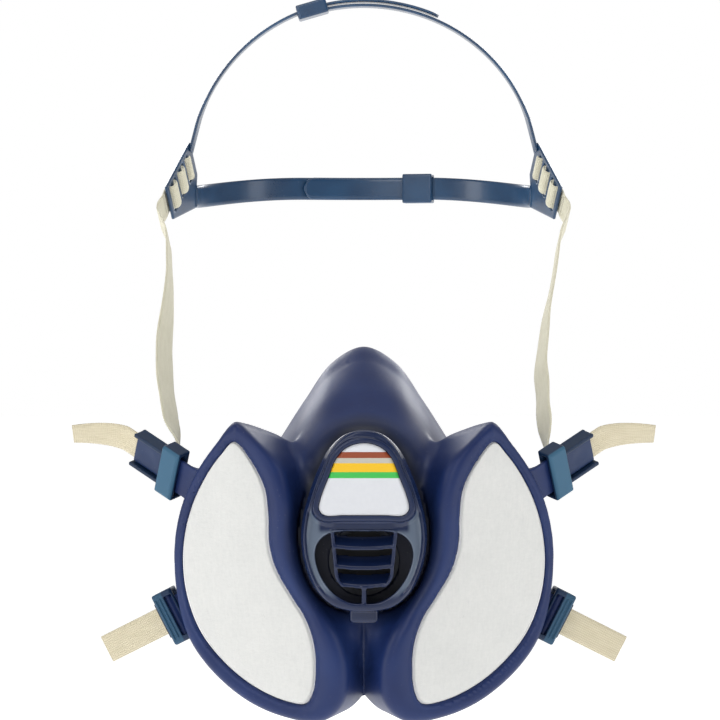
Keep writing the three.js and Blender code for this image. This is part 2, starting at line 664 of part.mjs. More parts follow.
/** The elastic's end, woven in and out through the slots of the panel. */
function makeWeave() {
  const rise = CRADLE_THICKNESS / 2 + STRAP_THICKNESS / 2 + CLEARANCE;
  const across = vec(0, 1, 0).transformDirection(panelFrame);
  const stations = [{ along: -2.6, side: 1 }];
  for (let i = 0; i < SLOT_COUNT; i += 1) {
    const at = SLOT_FIRST + i * SLOT_PITCH;
    const side = i % 2 === 0 ? 1 : -1;
    stations.push({ along: at - 0.85, side }, { along: at + 0.85, side: -side });
  }
  const last = SLOT_FIRST + (SLOT_COUNT - 1) * SLOT_PITCH;
  stations.push({ along: last + 2.8, side: SLOT_COUNT % 2 === 0 ? 1 : -1 });
  return ribbon(
    stations.map(({ along, side }) => {
      const at = vec(along, 0, side * rise).applyMatrix4(panelFrame);
      return { at, across };
    }),
    STRAP_WIDTH,
    STRAP_THICKNESS,
  );
}

const ARCH_Z = 173.7;
const ARCH_Y = 124;
const bandRoot = PANEL_START.clone().addScaledVector(rearwards, BAND_START);

/** Point on the crown arch, with a gap outside it for the lapping strap. */
function onArch(angle, lift) {
  const a = radians(angle);
  return vec((CRADLE_HALF_WIDTH + lift) * Math.cos(a), ARCH_Y, ARCH_Z + (CROWN_RISE + lift) * Math.sin(a));
}

/** Crown strap from the panel over the head, as far as an angle past the top. */
function makeCrown(endAngle, lift) {
  const root = vec(PANEL_LENGTH - 1.5, PANEL_HALF_WIDTH - CROWN_WIDTH / 2, 0).applyMatrix4(panelFrame);
  const across = vec(0, 1, 0);
  const rootAcross = strapRun.clone().multiplyScalar(0.4).add(vec(0, 0.8, -0.2));
  const stations = [{ at: root, across: rootAcross }];
  const steps = 16;
  const startAngle = 17;
  for (let i = 0; i <= steps; i += 1) {
    const t = i / steps;
    const angle = startAngle + t * (endAngle - startAngle);
    stations.push({ at: onArch(angle, lift * smoothStep(t * 1.4)), across });
  }
  return solid(ribbon(stations, CROWN_WIDTH, CRADLE_THICKNESS));
}

const smoothStep = (t) => THREE.MathUtils.smoothstep(t, 0, 1);

/** Point on the back band at an angle: 0 at the panel, 90 at the middle of the neck. */
function onBand(angle, lift) {
  const a = radians(angle);
  const rise = smoothStep(Math.min(angle, 180 - angle) / 70);
  return vec(
    (bandRoot.x + lift) * Math.cos(a),
    bandRoot.y + (BAND_DEPTH + lift) * Math.sin(a),
    BAND_LOW + BAND_RISE * rise,
  );
}

function makeBand(endAngle, lift) {
  const stations = [];
  const steps = 18;
  for (let i = 0; i <= steps; i += 1) {
    const t = i / steps;
    const angle = -2 + t * (endAngle + 2);
    stations.push({ at: onBand(angle, lift * smoothStep(t * 1.4)), across: vec(0, 0, 1) });
  }
  return solid(ribbon(stations, BAND_HEIGHT, CRADLE_THICKNESS));
}

const LAP = CRADLE_THICKNESS + KEEPER_CLEARANCE + CLEARANCE; // between the middles of two lapped straps

/** Loop on the end of a strap (on the frame's +Z side) that the lapping strap runs through. */
function makeKeeper(frame, width) {
  const half = KEEPER_LENGTH / 2;
  const side = width / 2 + CLEARANCE;
  const near = -(LAP + CRADLE_THICKNESS) / 2 - KEEPER_CLEARANCE;
  const far = (LAP + CRADLE_THICKNESS) / 2 - 0.2;
  const low = [-half, -side - KEEPER_WALL, near - KEEPER_WALL];
  const outer = boxIn(frame, low, [half, side + KEEPER_WALL, far + KEEPER_WALL]);
  return outer.subtract(boxIn(frame, [-half - 1, -side, near], [half + 1, side, far]));
}

function makeCradleLeft() {
  const place = 107;
  const a = radians(place);
  const along = vec(-CRADLE_HALF_WIDTH * Math.sin(a), 0, CROWN_RISE * Math.cos(a));
  const loop = makeKeeper(frameOf(onArch(place, LAP / 2), along, vec(0, 1, 0)), CROWN_WIDTH);
  return makePanel().add(makeCrown(place + 4, 0)).add(makeBand(112, -LAP)).add(loop);
}

function makeCradleRight() {
  const place = 110;
  const a = radians(place);
  const along = vec(-bandRoot.x * Math.sin(a), BAND_DEPTH * Math.cos(a), 0);
  const loop = makeKeeper(frameOf(onBand(place, -LAP / 2), along, vec(0, 0, 1)), BAND_HEIGHT);
  const body = makePanel().add(makeCrown(115, LAP)).add(makeBand(place + 5, 0)).add(loop);
  return solid(reflected(geometryOf(body)));
}

// ---------------------------------------------------------------- straps between mask and cradle
/** Points of each head strap above its buckle, up to its cradle panel. */
const HEAD_STRAP_ROUTES = {
  left: [[84.3, -35.7, 45.7], [82.7, -32.2, 53], [80.9, -25.4, 59.3], [80, -14.4, 68],
    [79.8, -3.4, 77], [80.8, 7.6, 86], [82.5, 18.6, 95], [84.8, 31, 106],
    [88.3, 46.1, 119], [91.4, 65, 136]],
  right: [[85.7, -35.6, 46], [87.6, -30.4, 54.5], [88.6, -19.9, 63.5], [89.4, -8.9, 72],
    [90.2, 5, 84], [90.3, 19.7, 96], [89.8, 35.1, 109], [90.4, 51.5, 123], [91.6, 66, 136.5]],
};

const STRAP_START = 5.4; // where a head strap starts, along its buckle
// The head strap starts this far behind its buckle, so that its tilted edge clears the block.
const STRAP_STANDOFF = 0.27 * STRAP_WIDTH;

function makeHeadStrap(side) {
  const end = vec(-3.2, 0, CRADLE_THICKNESS / 2 + STRAP_THICKNESS / 2 + CLEARANCE).applyMatrix4(panelFrame);
  const behind = -BUCKLE_THICKNESS / 2 - STRAP_THICKNESS / 2 - STRAP_STANDOFF;
  const start = vec(STRAP_START, 0, behind).applyMatrix4(upperBuckle);
  const shift = start.clone().sub(vec(85, -39.9, 38.1));
  const points = HEAD_STRAP_ROUTES[side].map((p, i) => {
    const share = Math.max(1 - i / 3, 0);
    return vec(...p).addScaledVector(shift, share);
  });
  points.unshift(start);
  points.push(end.clone().addScaledVector(strapRun, -8), end);
  const curve = new THREE.CatmullRomCurve3(points, false, 'centripetal');
  const bottom = vec(0.78, 0.4, 0.35);
  const top = vec(0, 1, 0).transformDirection(panelFrame);
  const stations = [];
  const steps = 30;
  for (let i = 0; i <= steps; i += 1) {
    const t = i / steps;
    const across = bottom.clone().lerp(top, smoothStep((t - 0.05) / 0.7)).normalize();
    stations.push({ at: curve.getPointAt(t), across });
  }
  return solid(ribbon(stations, STRAP_WIDTH, STRAP_THICKNESS));
}

/** Neck strap from behind a lower buckle to the neck clip at the back. */
const NECK_STRAP_ROUTE = [[82.4, -28.4, -29.2], [78.4, -17, -31.5], [71, 4, -36.5], [65, 30, -40.5],
  [56, 55, -42], [42, 72, -43], [26, 80, -43], [13.5, 82, -43]];

const NECK_STANDOFF = 1.0;

function makeNeckStrap() {
  const tunnel = STRAP_THICKNESS + 2 * CLEARANCE;
  const behind = -BUCKLE_THICKNESS / 2 - tunnel - CHANNEL_FLOOR - NECK_STANDOFF;
  const start = vec(0.6, 0, behind).applyMatrix4(lowerBuckle);
  const shift = start.clone().sub(vec(84.7, -36.2, -29.9));
  const points = NECK_STRAP_ROUTE.map((p, i) => vec(...p).addScaledVector(shift, Math.max(1 - i / 3, 0)));
  points.unshift(start);
  const curve = new THREE.CatmullRomCurve3(points, false, 'centripetal');
  const first = vec(0, 1, 0).transformDirection(lowerBuckle);
  const steps = 26;
  const stations = [];
  for (let i = 0; i <= steps; i += 1) {
    const across = first.clone().lerp(vec(0, 0, 1), smoothStep((i / steps) * 3));
    stations.push({ at: curve.getPointAt(i / steps), across: across.normalize() });
  }
  return solid(ribbon(stations, STRAP_WIDTH, STRAP_THICKNESS));
}

// ---------------------------------------------------------------- neck clip
const CLIP_AT = vec(0, 82, -43);
const clipFrame = new THREE.Matrix4()
  .makeBasis(vec(1, 0, 0), vec(0, 0, 1), vec(0, -1, 0))
  .setPosition(CLIP_AT);

/** Flat frame with a bar for the elastic and a slotted eye. */
function makeClipEye() {
  let eye = boxIn(clipFrame, [-3, -9, -1.6], [13, 9, 1.6]);
  eye = eye.subtract(boxIn(clipFrame, [8.4, -6.6, -3], [11.2, 6.6, 3]));
  eye = eye.subtract(boxIn(clipFrame, [-0.4, -5.6, -3], [4.6, 5.6, 3]));
  return eye;
}

/** Plate with a tongue that passes through the eye and hooks behind it. */
function makeClipHook() {
  let hook = boxIn(clipFrame, [-13, -9, -1.6], [-3.4, 9, 1.6]);
  hook = hook.subtract(boxIn(clipFrame, [-11.2, -6.6, -3], [-8.4, 6.6, 3]));
  hook = hook.add(boxIn(clipFrame, [-5, -4.6, -1.6], [-3.4, 4.6, 4]));
  hook = hook.add(boxIn(clipFrame, [-5, -4.6, 2], [4, 4.6, 4]));
  hook = hook.add(boxIn(clipFrame, [0.4, -4.6, -1.6], [3.8, 4.6, 3]));
  return hook;
}

// ---------------------------------------------------------------- the whole respirator
addPiece('facepiece', geometryOf(makeFacepiece()), 'softNavy');
addPair('cartridge_case', makeCase(), 'caseGrey');
addPair('carbon_bed', makeCarbonBed(), 'carbon');
addPair('filter_pad', makePad(), 'felt');
addPair('inhalation_seat', makeInhaleSeat(), 'caseGrey');
addPair('inhalation_flap', makeInhaleFlap(), 'silicone');
addPiece('exhalation_seat', geometryOf(makeExhaleSeat()), 'caseGrey');
addPiece('exhalation_flap', geometryOf(makeExhaleFlap()), 'silicone');
addPiece('valve_cover', geometryOf(makeValveCover()), 'glossNavy');
addPiece('label_plate', geometryOf(makeLabel()), 'label');
addPair('upper_buckle', makeUpperBuckle(upperBuckle), 'buckleBlue');
addPair('upper_lever', makeLever(upperBuckle), 'buckleBlue');
const upperTailStart = BUCKLE_BLOCK / 2 + 0.6;
const tailLean = vec(-0.1, -0.77, 0.63);
const upperTail = makeTail(
  upperBuckle, upperTailStart, UPPER_TAIL_LOW, TAIL_LENGTH, TAIL_FALL, tailLean,
);
addPair('upper_tail', upperTail, 'elastic');
addPair('lower_buckle', makeLowerBuckle(lowerBuckle), 'buckleBlue');
const lowerTailStart = 0.5 - BUCKLE_BLOCK / 2;
const lowerTail = makeTail(lowerBuckle, lowerTailStart, LOWER_TAIL_LOW, NECK_TAIL_LENGTH, 0);
addPair('lower_tail', lowerTail, 'elastic');
addPiece('head_strap_left', geometryOf(makeHeadStrap('left')), 'elastic');
addPiece('head_strap_right', reflected(geometryOf(makeHeadStrap('right'))), 'elastic');
addPair('strap_weave', makeWeave(), 'elastic');
addPiece('cradle_left', geometryOf(makeCradleLeft()), 'cradleBlue');
addPiece('cradle_right', geometryOf(makeCradleRight()), 'cradleBlue');
addPair('neck_strap', makeNeckStrap(), 'elastic');
addPiece('neck_clip_eye', geometryOf(makeClipEye()), 'buckleBlue');
addPiece('neck_clip_hook', geometryOf(makeClipHook()), 'buckleBlue');

export default respirator;
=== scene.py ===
# %% [markdown]
# # A half-mask respirator
# The mask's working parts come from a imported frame: its nodes, bodies and joints. This script
# gives it its looks: moulded soft rubber, a glossy valve cover, felt filter faces, woven elastic
# and flexible plastic. Everything is in metres; shapes are thought out in millimetres and scaled
# once, when a mesh is made.

# %% Load the frame
import math

import bpy
import numpy as np
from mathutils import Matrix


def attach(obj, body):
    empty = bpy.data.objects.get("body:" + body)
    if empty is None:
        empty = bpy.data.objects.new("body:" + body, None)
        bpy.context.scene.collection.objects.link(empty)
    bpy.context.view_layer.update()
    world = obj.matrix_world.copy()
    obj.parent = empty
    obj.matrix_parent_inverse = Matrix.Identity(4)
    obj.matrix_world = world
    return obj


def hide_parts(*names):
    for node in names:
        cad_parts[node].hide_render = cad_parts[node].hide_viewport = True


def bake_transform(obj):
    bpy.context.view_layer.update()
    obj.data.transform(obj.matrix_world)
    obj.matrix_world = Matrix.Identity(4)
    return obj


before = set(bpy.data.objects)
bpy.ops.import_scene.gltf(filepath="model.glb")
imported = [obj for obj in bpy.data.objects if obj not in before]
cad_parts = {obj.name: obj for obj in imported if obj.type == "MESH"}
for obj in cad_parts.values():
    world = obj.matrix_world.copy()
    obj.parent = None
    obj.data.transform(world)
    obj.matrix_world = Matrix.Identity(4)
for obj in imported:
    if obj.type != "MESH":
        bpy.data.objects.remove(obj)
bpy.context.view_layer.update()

MM = 0.001

# %% [markdown]
# ## Camera
# The mask is looked at straight from the front, from a little more than a metre and a half away,
# level with the top of the filter pods, so the head cradle behind it is seen slightly from below.

# %% Camera
VIEW_DISTANCE = 1.60  # from the lens to the front of the pods
VIEW_WIDTH = 0.3132  # how much of the mask's plane the view takes in
POD_FRONT = 0.060  # how far the pods' front lies before the origin
EYE = (-0.0017, -VIEW_DISTANCE - POD_FRONT, 0.0805)

camera_data = bpy.data.cameras.new("camera")
camera_data.angle = 2 * math.atan(VIEW_WIDTH / 2 / VIEW_DISTANCE)
camera_data.clip_end = 20
camera = bpy.data.objects.new("camera", camera_data)
camera.location = EYE
camera.rotation_euler = (math.pi / 2, 0, 0)
bpy.context.scene.collection.objects.link(camera)
bpy.context.scene.camera = camera
bpy.context.scene.view_settings.view_transform = "Standard"
print("camera angle in degrees:", round(math.degrees(camera_data.angle), 2))

# %% [markdown]
# ## Floor and light
# A wide pale floor lies below the mask. The light is that of a product shot: a bright surround, a
# soft light above, one in front, and a strip on each side that draws a highlight along the rims
# of the pods. Two small lights behind catch the shoulders of the pods and the twisted straps. The
# floor glows a little, so that it stays as white as the surround.

# %% Floor
FLOOR_Z = -0.16
FLOOR_REACH = 14.0  # from the middle of the floor to its edge


def grid_mesh(name, points, close_u=False, close_v=False):
    """Mesh from an array of points (rows, columns, 3) in metres, with a quad between neighbours.

    A closed direction joins its last line to its first.
    """
    rows, columns = points.shape[:2]
    index = np.arange(rows * columns).reshape(rows, columns)
    if close_u:
        index = np.vstack([index, index[:1]])
    if close_v:
        index = np.hstack([index, index[:, :1]])
    quads = np.stack([index[:-1, :-1], index[:-1, 1:], index[1:, 1:], index[1:, :-1]], axis=-1)
    return mesh_from(name, points.reshape(-1, 3), quads.reshape(-1, 4))


def mesh_from(name, vertices, faces):
    """Smooth-shaded mesh from arrays of vertices and of faces that all have as many corners."""
    mesh = bpy.data.meshes.new(name)
    count, corners = faces.shape
    mesh.vertices.add(len(vertices))
    mesh.vertices.foreach_set("co", np.asarray(vertices, dtype=np.float32).ravel())
    mesh.loops.add(count * corners)
    mesh.loops.foreach_set("vertex_index", np.asarray(faces, dtype=np.int32).ravel())
    mesh.polygons.add(count)
    mesh.polygons.foreach_set("loop_start", np.arange(0, count * corners, corners, dtype=np.int32))
    mesh.update(calc_edges=True)
    mesh.polygons.foreach_set("use_smooth", np.ones(count, dtype=bool))
    mesh.validate()
    return mesh


def add_object(name, mesh):
    """Object at the origin that shows a mesh."""
    piece = bpy.data.objects.new(name, mesh)
    bpy.context.scene.collection.objects.link(piece)
    return piece


floor_u = np.linspace(-1, 1, 25)
floor_line = np.sign(floor_u) * floor_u**2 * FLOOR_REACH
floor_x, floor_y = np.meshgrid(floor_line, floor_line)
floor_points = np.stack([floor_x, floor_y, np.full_like(floor_x, FLOOR_Z)], axis=-1)
floor = add_object("floor", grid_mesh("floor", floor_points))

# %% Lights


def set_ramp(ramp, stops):
    """Gives a colour ramp its stops, as pairs of a place and a colour."""
    while len(ramp.elements) < len(stops):
        ramp.elements.new(0.5)
    for element, (place, colour) in zip(ramp.elements, stops):
        element.position = place
        element.color = colour


def area_light(name, place, aim, size, power):
    """Rectangular light of a size in metres and a power in watts, turned to face a point."""
    data = bpy.data.lights.new(name, "AREA")
    data.shape = "RECTANGLE"
    data.size, data.size_y = size
    data.energy = power
    light = bpy.data.objects.new(name, data)
    light.location = place
    away = np.array(place, dtype=float) - np.array(aim, dtype=float)
    yaw = math.atan2(away[0], -away[1])
    pitch = math.atan2(math.hypot(away[0], away[1]), away[2])
    light.rotation_euler = (pitch, 0, yaw)
    bpy.context.scene.collection.objects.link(light)


area_light("overhead", (0.0, -0.35, 1.3), (0, 0, 0.05), (1.0, 0.6), 4.5)
area_light("front", (-0.5, -1.7, 0.7), (0, 0, 0.02), (0.8, 0.8), 6.8)
area_light("left_strip", (-0.95, -0.45, 0.2), (0, 0, 0.03), (0.25, 1.2), 3.5)
area_light("right_strip", (0.95, -0.45, 0.2), (0, 0, 0.03), (0.25, 1.2), 2.5)
area_light("left_rear", (-0.43, 0.92, 0.54), (0.05, -0.06, 0.05), (0.35, 0.35), 2.4)
area_light("right_rear", (0.43, 0.92, 0.54), (-0.05, -0.06, 0.05), (0.35, 0.35), 2.4)

world = bpy.data.worlds.new("surround")
world.use_nodes = True
world_nodes = world.node_tree.nodes
background = world_nodes["Background"]
background.inputs["Color"].default_value = (1, 1, 1, 1)
# The surround lights the mask less from the front, so that what faces front keeps its colour.
direction = world_nodes.new("ShaderNodeTexCoord")
parts = world_nodes.new("ShaderNodeSeparateXYZ")
dimming = world_nodes.new("ShaderNodeValToRGB")
FRONT_TO_BACK = ((0.0, 0.16), (0.45, 0.38), (0.62, 0.45), (0.9, 0.85))
set_ramp(dimming.color_ramp, [(at, (strength,) * 4) for at, strength in FRONT_TO_BACK])
front_to_back = world_nodes.new("ShaderNodeMath")
front_to_back.operation = "MULTIPLY_ADD"
front_to_back.inputs[1].default_value = 0.5
front_to_back.inputs[2].default_value = 0.5
seen = world_nodes.new("ShaderNodeLightPath")
strength = world_nodes.new("ShaderNodeMix")
strength.inputs["B"].default_value = 1.0
for source, target in (
    (direction.outputs["Generated"], parts.inputs["Vector"]),
    (parts.outputs["Y"], front_to_back.inputs[0]),
    (front_to_back.outputs[0], dimming.inputs["Fac"]),
    (seen.outputs["Is Camera Ray"], strength.inputs["Factor"]),
    (dimming.outputs["Color"], strength.inputs["A"]),
    (strength.outputs["Result"], background.inputs["Strength"]),
):
    world.node_tree.links.new(source, target)
bpy.context.scene.world = world

# %% [markdown]
# ## Writing materials as sums
# A material is a small sum over the surface: a base colour plus some variation, a roughness plus
# some grain. The class below wraps a node's socket, so that `1 - mask * 0.3` adds the Math nodes
# itself. Colours are blended by Mix nodes, and any other node is added by `Finish.node`.

# %% Socket arithmetic


class Wire:
    """A node's output that takes part in arithmetic; each operation adds one Math node."""

    def __init__(self, finish, socket):
        self.finish = finish
        self.socket = socket

    def _math(self, operation, *values):
        return self.finish.node("ShaderNodeMath", {"operation": operation}, dict(enumerate(values)))

    def __add__(self, other):
        return self._math("ADD", self, other)

    def __radd__(self, other):
        return self._math("ADD", other, self)

    def __sub__(self, other):
        return self._math("SUBTRACT", self, other)

    def __rsub__(self, other):
        return self._math("SUBTRACT", other, self)

    def __mul__(self, other):
        return self._math("MULTIPLY", self, other)

    def wave(self):
        """Sine of the value."""
        return self._math("SINE", self)

    def above(self, edge):
        """1 where the value is above an edge, else 0."""
        return self._math("GREATER_THAN", self, edge)

    def kept(self, low, high):
        """Value stretched so that low is 0 and high is 1, and held between them."""
        inputs = {"Value": self, "From Min": low, "From Max": high}
        return self.finish.node("ShaderNodeMapRange", {"clamp": True}, inputs)


class Finish:
    """A material being made: a tree of nodes that ends in one Principled shader."""

    def __init__(self, name, **constants):
        self.material = bpy.data.materials.new(name)
        self.material.use_nodes = True
        self.tree = self.material.node_tree
        self.shader = self.tree.nodes["Principled BSDF"]
        for socket, value in constants.items():
            self.shader.inputs[socket.replace("_", " ")].default_value = value

    def node(self, kind, settings=None, inputs=None, output=0):
        """Adds a node; sets its settings, then the values or links of its inputs."""
        node = self.tree.nodes.new(kind)
        for key, value in (settings or {}).items():
            if key == "stops":
                set_ramp(node.color_ramp, value)
            else:
                setattr(node, key, value)
        for key, value in (inputs or {}).items():
            if isinstance(value, Wire):
                self.tree.links.new(value.socket, node.inputs[key])
            else:
                node.inputs[key].default_value = value
        return Wire(self, node.outputs[output])

    def place(self, scale=1.0):
        """Object coordinates in metres, scaled."""
        coordinates = self.node("ShaderNodeTexCoord", output="Object")
        settings = {"operation": "SCALE"}
        return self.node("ShaderNodeVectorMath", settings, {0: coordinates, "Scale": scale})

    def axis(self, vector, which):
        """One part of a vector: "X", "Y" or "Z"."""
        return self.node("ShaderNodeSeparateXYZ", None, {0: vector}, output=which)

    def noise(self, vector, scale, detail=3.0, roughness=0.5):
        """Fractal noise between 0 and 1."""
        inputs = {"Vector": vector, "Scale": scale, "Detail": detail, "Roughness": roughness}
        return self.node("ShaderNodeTexNoise", None, inputs)

    def tone(self):
        """The mesh's attribute tone."""
        return self.node("ShaderNodeAttribute", {"attribute_name": "tone"}, output="Fac")

    def mix(self, factor, first, second):
        """Colour between two colours."""
        inputs = {0: factor, 6: first, 7: second}
        return self.node("ShaderNodeMix", {"data_type": "RGBA"}, inputs, output=2)

    def feed(self, **wires):
        """Links wires to the shader's sockets."""
        for socket, wire in wires.items():
            self.tree.links.new(wire.socket, self.shader.inputs[socket.replace("_", " ")])

    def bump(self, height, distance, strength=1.0):
        """Turns a height into a normal; distance is what 1 of height stands for, in metres."""
        inputs = {"Height": height, "Distance": distance, "Strength": strength}
        self.feed(Normal=self.node("ShaderNodeBump", None, inputs))
        return self.material


def colour(hex_code):
    """Linear colour from a hex code of an sRGB colour."""
    parts = np.array([int(hex_code[i : i + 2], 16) for i in (0, 2, 4)]) / 255
    linear = np.where(parts <= 0.04045, parts / 12.92, ((parts + 0.055) / 1.055) ** 2.4)
    return (*map(float, linear), 1.0)


# %% [markdown]
# ## Finishes
# Each finish has its own grain at its own scale. The soft rubber has a satin spark-eroded skin,
# the cover is polished, the felt is a mat of fibres, and the elastic is a narrow weave with
# rubber cores that run along it.

# %% Moulded rubber and plastics


DUST = (0.45, 0.48, 0.55, 1)
DUST_SHARE = 0.06


def moulded(name, dark, light, roughness, grain, coat=0.0, ior_level=0.5, second=None):
    """Moulded material: colour that drifts a little, fine skin, and a few pale specks of dust.

    A second colour, painted light or shade, takes over where the mesh's attribute tone is 1.
    """
    finish = Finish(name, Coat_Weight=coat, Coat_Roughness=0.12, Specular_IOR_Level=ior_level)
    place = finish.place()
    drift = finish.noise(place, 35.0, 4.0)
    fine = finish.noise(place, 2600.0, 2.0)
    dust = finish.noise(place, 900.0, 1.0).kept(0.74, 0.80)
    base = finish.mix(drift.kept(0.3, 0.7), dark, light)
    if second:
        base = finish.mix(finish.tone(), base, second)
    finish.feed(Base_Color=finish.mix(dust * DUST_SHARE, base, DUST))
    finish.feed(Roughness=roughness + (drift - 0.5) * 0.12 + (fine - 0.5) * 0.10)
    finish.bump(fine + drift * 3, grain)
    return finish.material


# The second colour of soft_navy is painted shade: it darkens the trench round the valve cover and
# the valley of the chin seam.
soft_navy = moulded(
    "soft_navy", colour("142451"), colour("1b2f60"), 0.42, 2.5e-5, ior_level=0.3,
    second=colour("06080f"),
)
case_grey = moulded("case_grey", colour("2a2e38"), colour("343945"), 0.55, 2e-5)
# Painted shade: this near-black colours the exhalation flap with the shade inside the valve opening
# behind the grille.
flap_painted_shade = moulded("flap_painted_shade", colour("0f1014"), colour("17191f"), 0.5, 1.5e-5, ior_level=0.3)
cradle_blue = moulded("cradle_blue", colour("13304f"), colour("1b4468"), 0.3, 1.0e-5, coat=0.3)
# The second colour of gloss_navy is a painted reflection on the sloping side panels of the cover.
gloss_navy = moulded(
    "gloss_navy", colour("101c3c"), colour("152446"), 0.24, 0.6e-5, coat=0.2, ior_level=0.35,
    second=colour("5c6879"),
)
# The second colour of buckle_teal is painted light on the buckles' front faces; their sides, recess
# and channel keep the darker colour as painted shade.
buckle_teal = moulded(
    "buckle_teal", colour("102641"), colour("162e4c"), 0.42, 1.2e-5, ior_level=0.3,
    second=colour("335d78"),
)
buckle_navy = moulded(
    "buckle_navy", colour("1a2d52"), colour("20355a"), 0.4, 1.2e-5, ior_level=0.35,
)
print("moulded finishes made")

# %% Felt, carbon, silicone, floor


def felt_finish():
    """White felt: crossing fibres as stretched noise, thin places, and soft pilling."""
    finish = Finish("felt", Sheen_Weight=0.25, Sheen_Roughness=0.5)
    place = finish.place()
    long_way = finish.node("ShaderNodeMapping", None, {0: place, "Scale": (900, 900, 160)})
    cross_way = finish.node("ShaderNodeMapping", None, {0: place, "Scale": (170, 900, 900)})
    fibres = finish.noise(long_way, 1.0, 4.0, 0.7) + finish.noise(cross_way, 1.0, 4.0, 0.7)
    cloud = finish.noise(place, 60.0, 3.0)
    lighter = (fibres * 0.5).kept(0.35, 0.65) * 0.5 + cloud * 0.5
    mat = finish.mix(lighter, colour("c9cac8"), colour("dadad7"))
    # Where tone is 1, a painted highlight whitens the felt.
    finish.feed(Base_Color=finish.mix(finish.tone(), mat, (0.95, 0.95, 0.95, 1)))
    finish.feed(Roughness=0.86 + cloud * 0.1)
    return finish.bump(fibres + cloud * 0.6, 1.3e-4)


def carbon_finish():
    """Granules of activated carbon: cells of a Voronoi pattern, each with its own grey."""
    finish = Finish("carbon", Roughness=0.95)
    place = finish.place()
    cells = finish.node("ShaderNodeTexVoronoi", None, {"Vector": place, "Scale": 900.0})
    tone = finish.noise(place, 700.0)
    finish.feed(Base_Color=finish.mix(tone, colour("0d0d0f"), colour("2c2c30")))
    return finish.bump(1 - cells, 4e-4)


def silicone_finish():
    """Thin silicone of a valve flap: milky amber, smooth, with faint clouding."""
    finish = Finish("silicone", Coat_Weight=0.2)
    cloud = finish.noise(finish.place(), 180.0)
    finish.feed(Base_Color=finish.mix(cloud, colour("cbb88f"), colour("e0d3b2")))
    finish.feed(Roughness=0.35 + cloud * 0.15)
    return finish.bump(cloud, 3e-5)


def floor_finish():
    """Pale paper that glows enough to stay white."""
    finish = Finish("floor_paper", Roughness=0.9, Emission_Strength=0.6)
    finish.shader.inputs["Emission Color"].default_value = (1, 1, 1, 1)
    grain = finish.noise(finish.place(), 30.0)
    finish.feed(Base_Color=finish.mix(grain, (0.90, 0.90, 0.90, 1), (0.93, 0.93, 0.93, 1)))
    return finish.material


felt = felt_finish()
carbon = carbon_finish()
silicone = silicone_finish()
floor.data.materials.append(floor_finish())

# %% [markdown]
# The elastic carries its own coordinates: U runs along it and V across it, both in metres, so
# its ribs stay the same size on every strap, however it turns. Its edges are a tighter selvedge.

# %% Elastic and label


RIB_PITCH = 0.00095
PICK_PITCH = 0.00085


def elastic_finish(name, pale, shade):
    """Woven elastic: lengthwise ribs over rubber cores, fine picks across, tight edges."""
    finish = Finish(name, Sheen_Weight=0.2, Sheen_Roughness=0.4)
    uv = finish.node("ShaderNodeUVMap", {"uv_map": "along_across"})
    along = finish.axis(uv, "X")
    across = finish.axis(uv, "Y")
    rib = (across * (2 * math.pi / RIB_PITCH)).wave() * 0.5 + 0.5
    pick = (along * (2 * math.pi / PICK_PITCH) + rib * 2.2).wave() * 0.5 + 0.5
    drawn_out = finish.node("ShaderNodeMapping", None, {0: uv, "Scale": (90, 500, 1)})
    waver = finish.noise(drawn_out, 1.0)
    light = (rib * 0.4 + pick * 0.35 + waver * 0.6).kept(0.25, 1.15)
    finish.feed(Base_Color=finish.mix(light, shade, pale))
    finish.feed(Roughness=0.8 + pick * 0.12)
    return finish.bump(rib * 0.8 + pick * 0.6 + waver * 0.4, 1.1e-4)


def label_finish():
    """Printed film: plain bands across a white window, each a step of the height."""
    finish = Finish("label", Coat_Weight=0.15)
    place = finish.place(1000.0)
    height = finish.axis(place, "Z")
    cloud = finish.noise(place, 0.5)
    bands = (
        (30.0, colour("35b54a")),
        (32.6, colour("e8b800")),
        (36.4, colour("b8b4a8")),
        (38.6, colour("8a3a12")),
        (41.2, colour("d1d3d8")),
    )
    shown = finish.mix(cloud, colour("cdcfd4"), colour("d5d7db"))
    for low, tint in bands:
        shown = finish.mix(height.above(low), shown, tint)
    finish.feed(Base_Color=shown, Roughness=0.42 + cloud * 0.1)
    return finish.bump(cloud, 2e-5)


elastic = elastic_finish("elastic", colour("e9e5d0"), colour("cbc6ac"))
elastic_warm = elastic_finish("elastic_warm", colour("dcd3bb"), colour("c0b698"))
label = label_finish()
print("finishes:", len(bpy.data.materials))

# %% [markdown]
# ## Outlines and distance fields
# A soft moulding is easiest to describe by how far a point is from its surface: negative inside,
# positive outside. Two such fields join by their minimum, cut by their maximum, and a rounded
# minimum gives the generous fillets of a moulded part. A closed curve through a few points gives
# each flat outline, and a table of distances to it makes it quick to ask for many points.

# %% Outlines


def closed_curve(points, per_span=10):
    """Closed centripetal Catmull-Rom curve: each span blends its four nearest points by knots
    whose spacing is the square root of the distance between them."""
    p = np.asarray(points, dtype=float)
    p0, p1, p2, p3 = (np.roll(p, shift, axis=0) for shift in (1, 0, -1, -2))
    neighbours = ((p0, p1), (p1, p2), (p2, p3))
    gaps = [np.sqrt(np.linalg.norm(b - a, axis=1)) + 1e-9 for a, b in neighbours]
    t0 = np.zeros(len(p))
    t1 = gaps[0]
    t2 = t1 + gaps[1]
    t3 = t2 + gaps[2]
    t = t1[:, None] + (t2 - t1)[:, None] * np.arange(per_span)[None, :] / per_span

    def between(a, b, ta, tb):
        share = ((t - ta[:, None]) / (tb - ta)[:, None])[..., None]
        return a * (1 - share) + b * share

    a1 = between(p0[:, None], p1[:, None], t0, t1)
    a2 = between(p1[:, None], p2[:, None], t1, t2)
    a3 = between(p2[:, None], p3[:, None], t2, t3)
    b1 = between(a1, a2, t0, t2)
    b2 = between(a2, a3, t1, t3)
    return between(b1, b2, t1, t2).reshape(-1, 2)


def symmetric(half):
    """Whole outline from its right half, from the top point to the bottom one."""
    return [*half, *((-x, z) for x, z in reversed(half[1:-1]))]


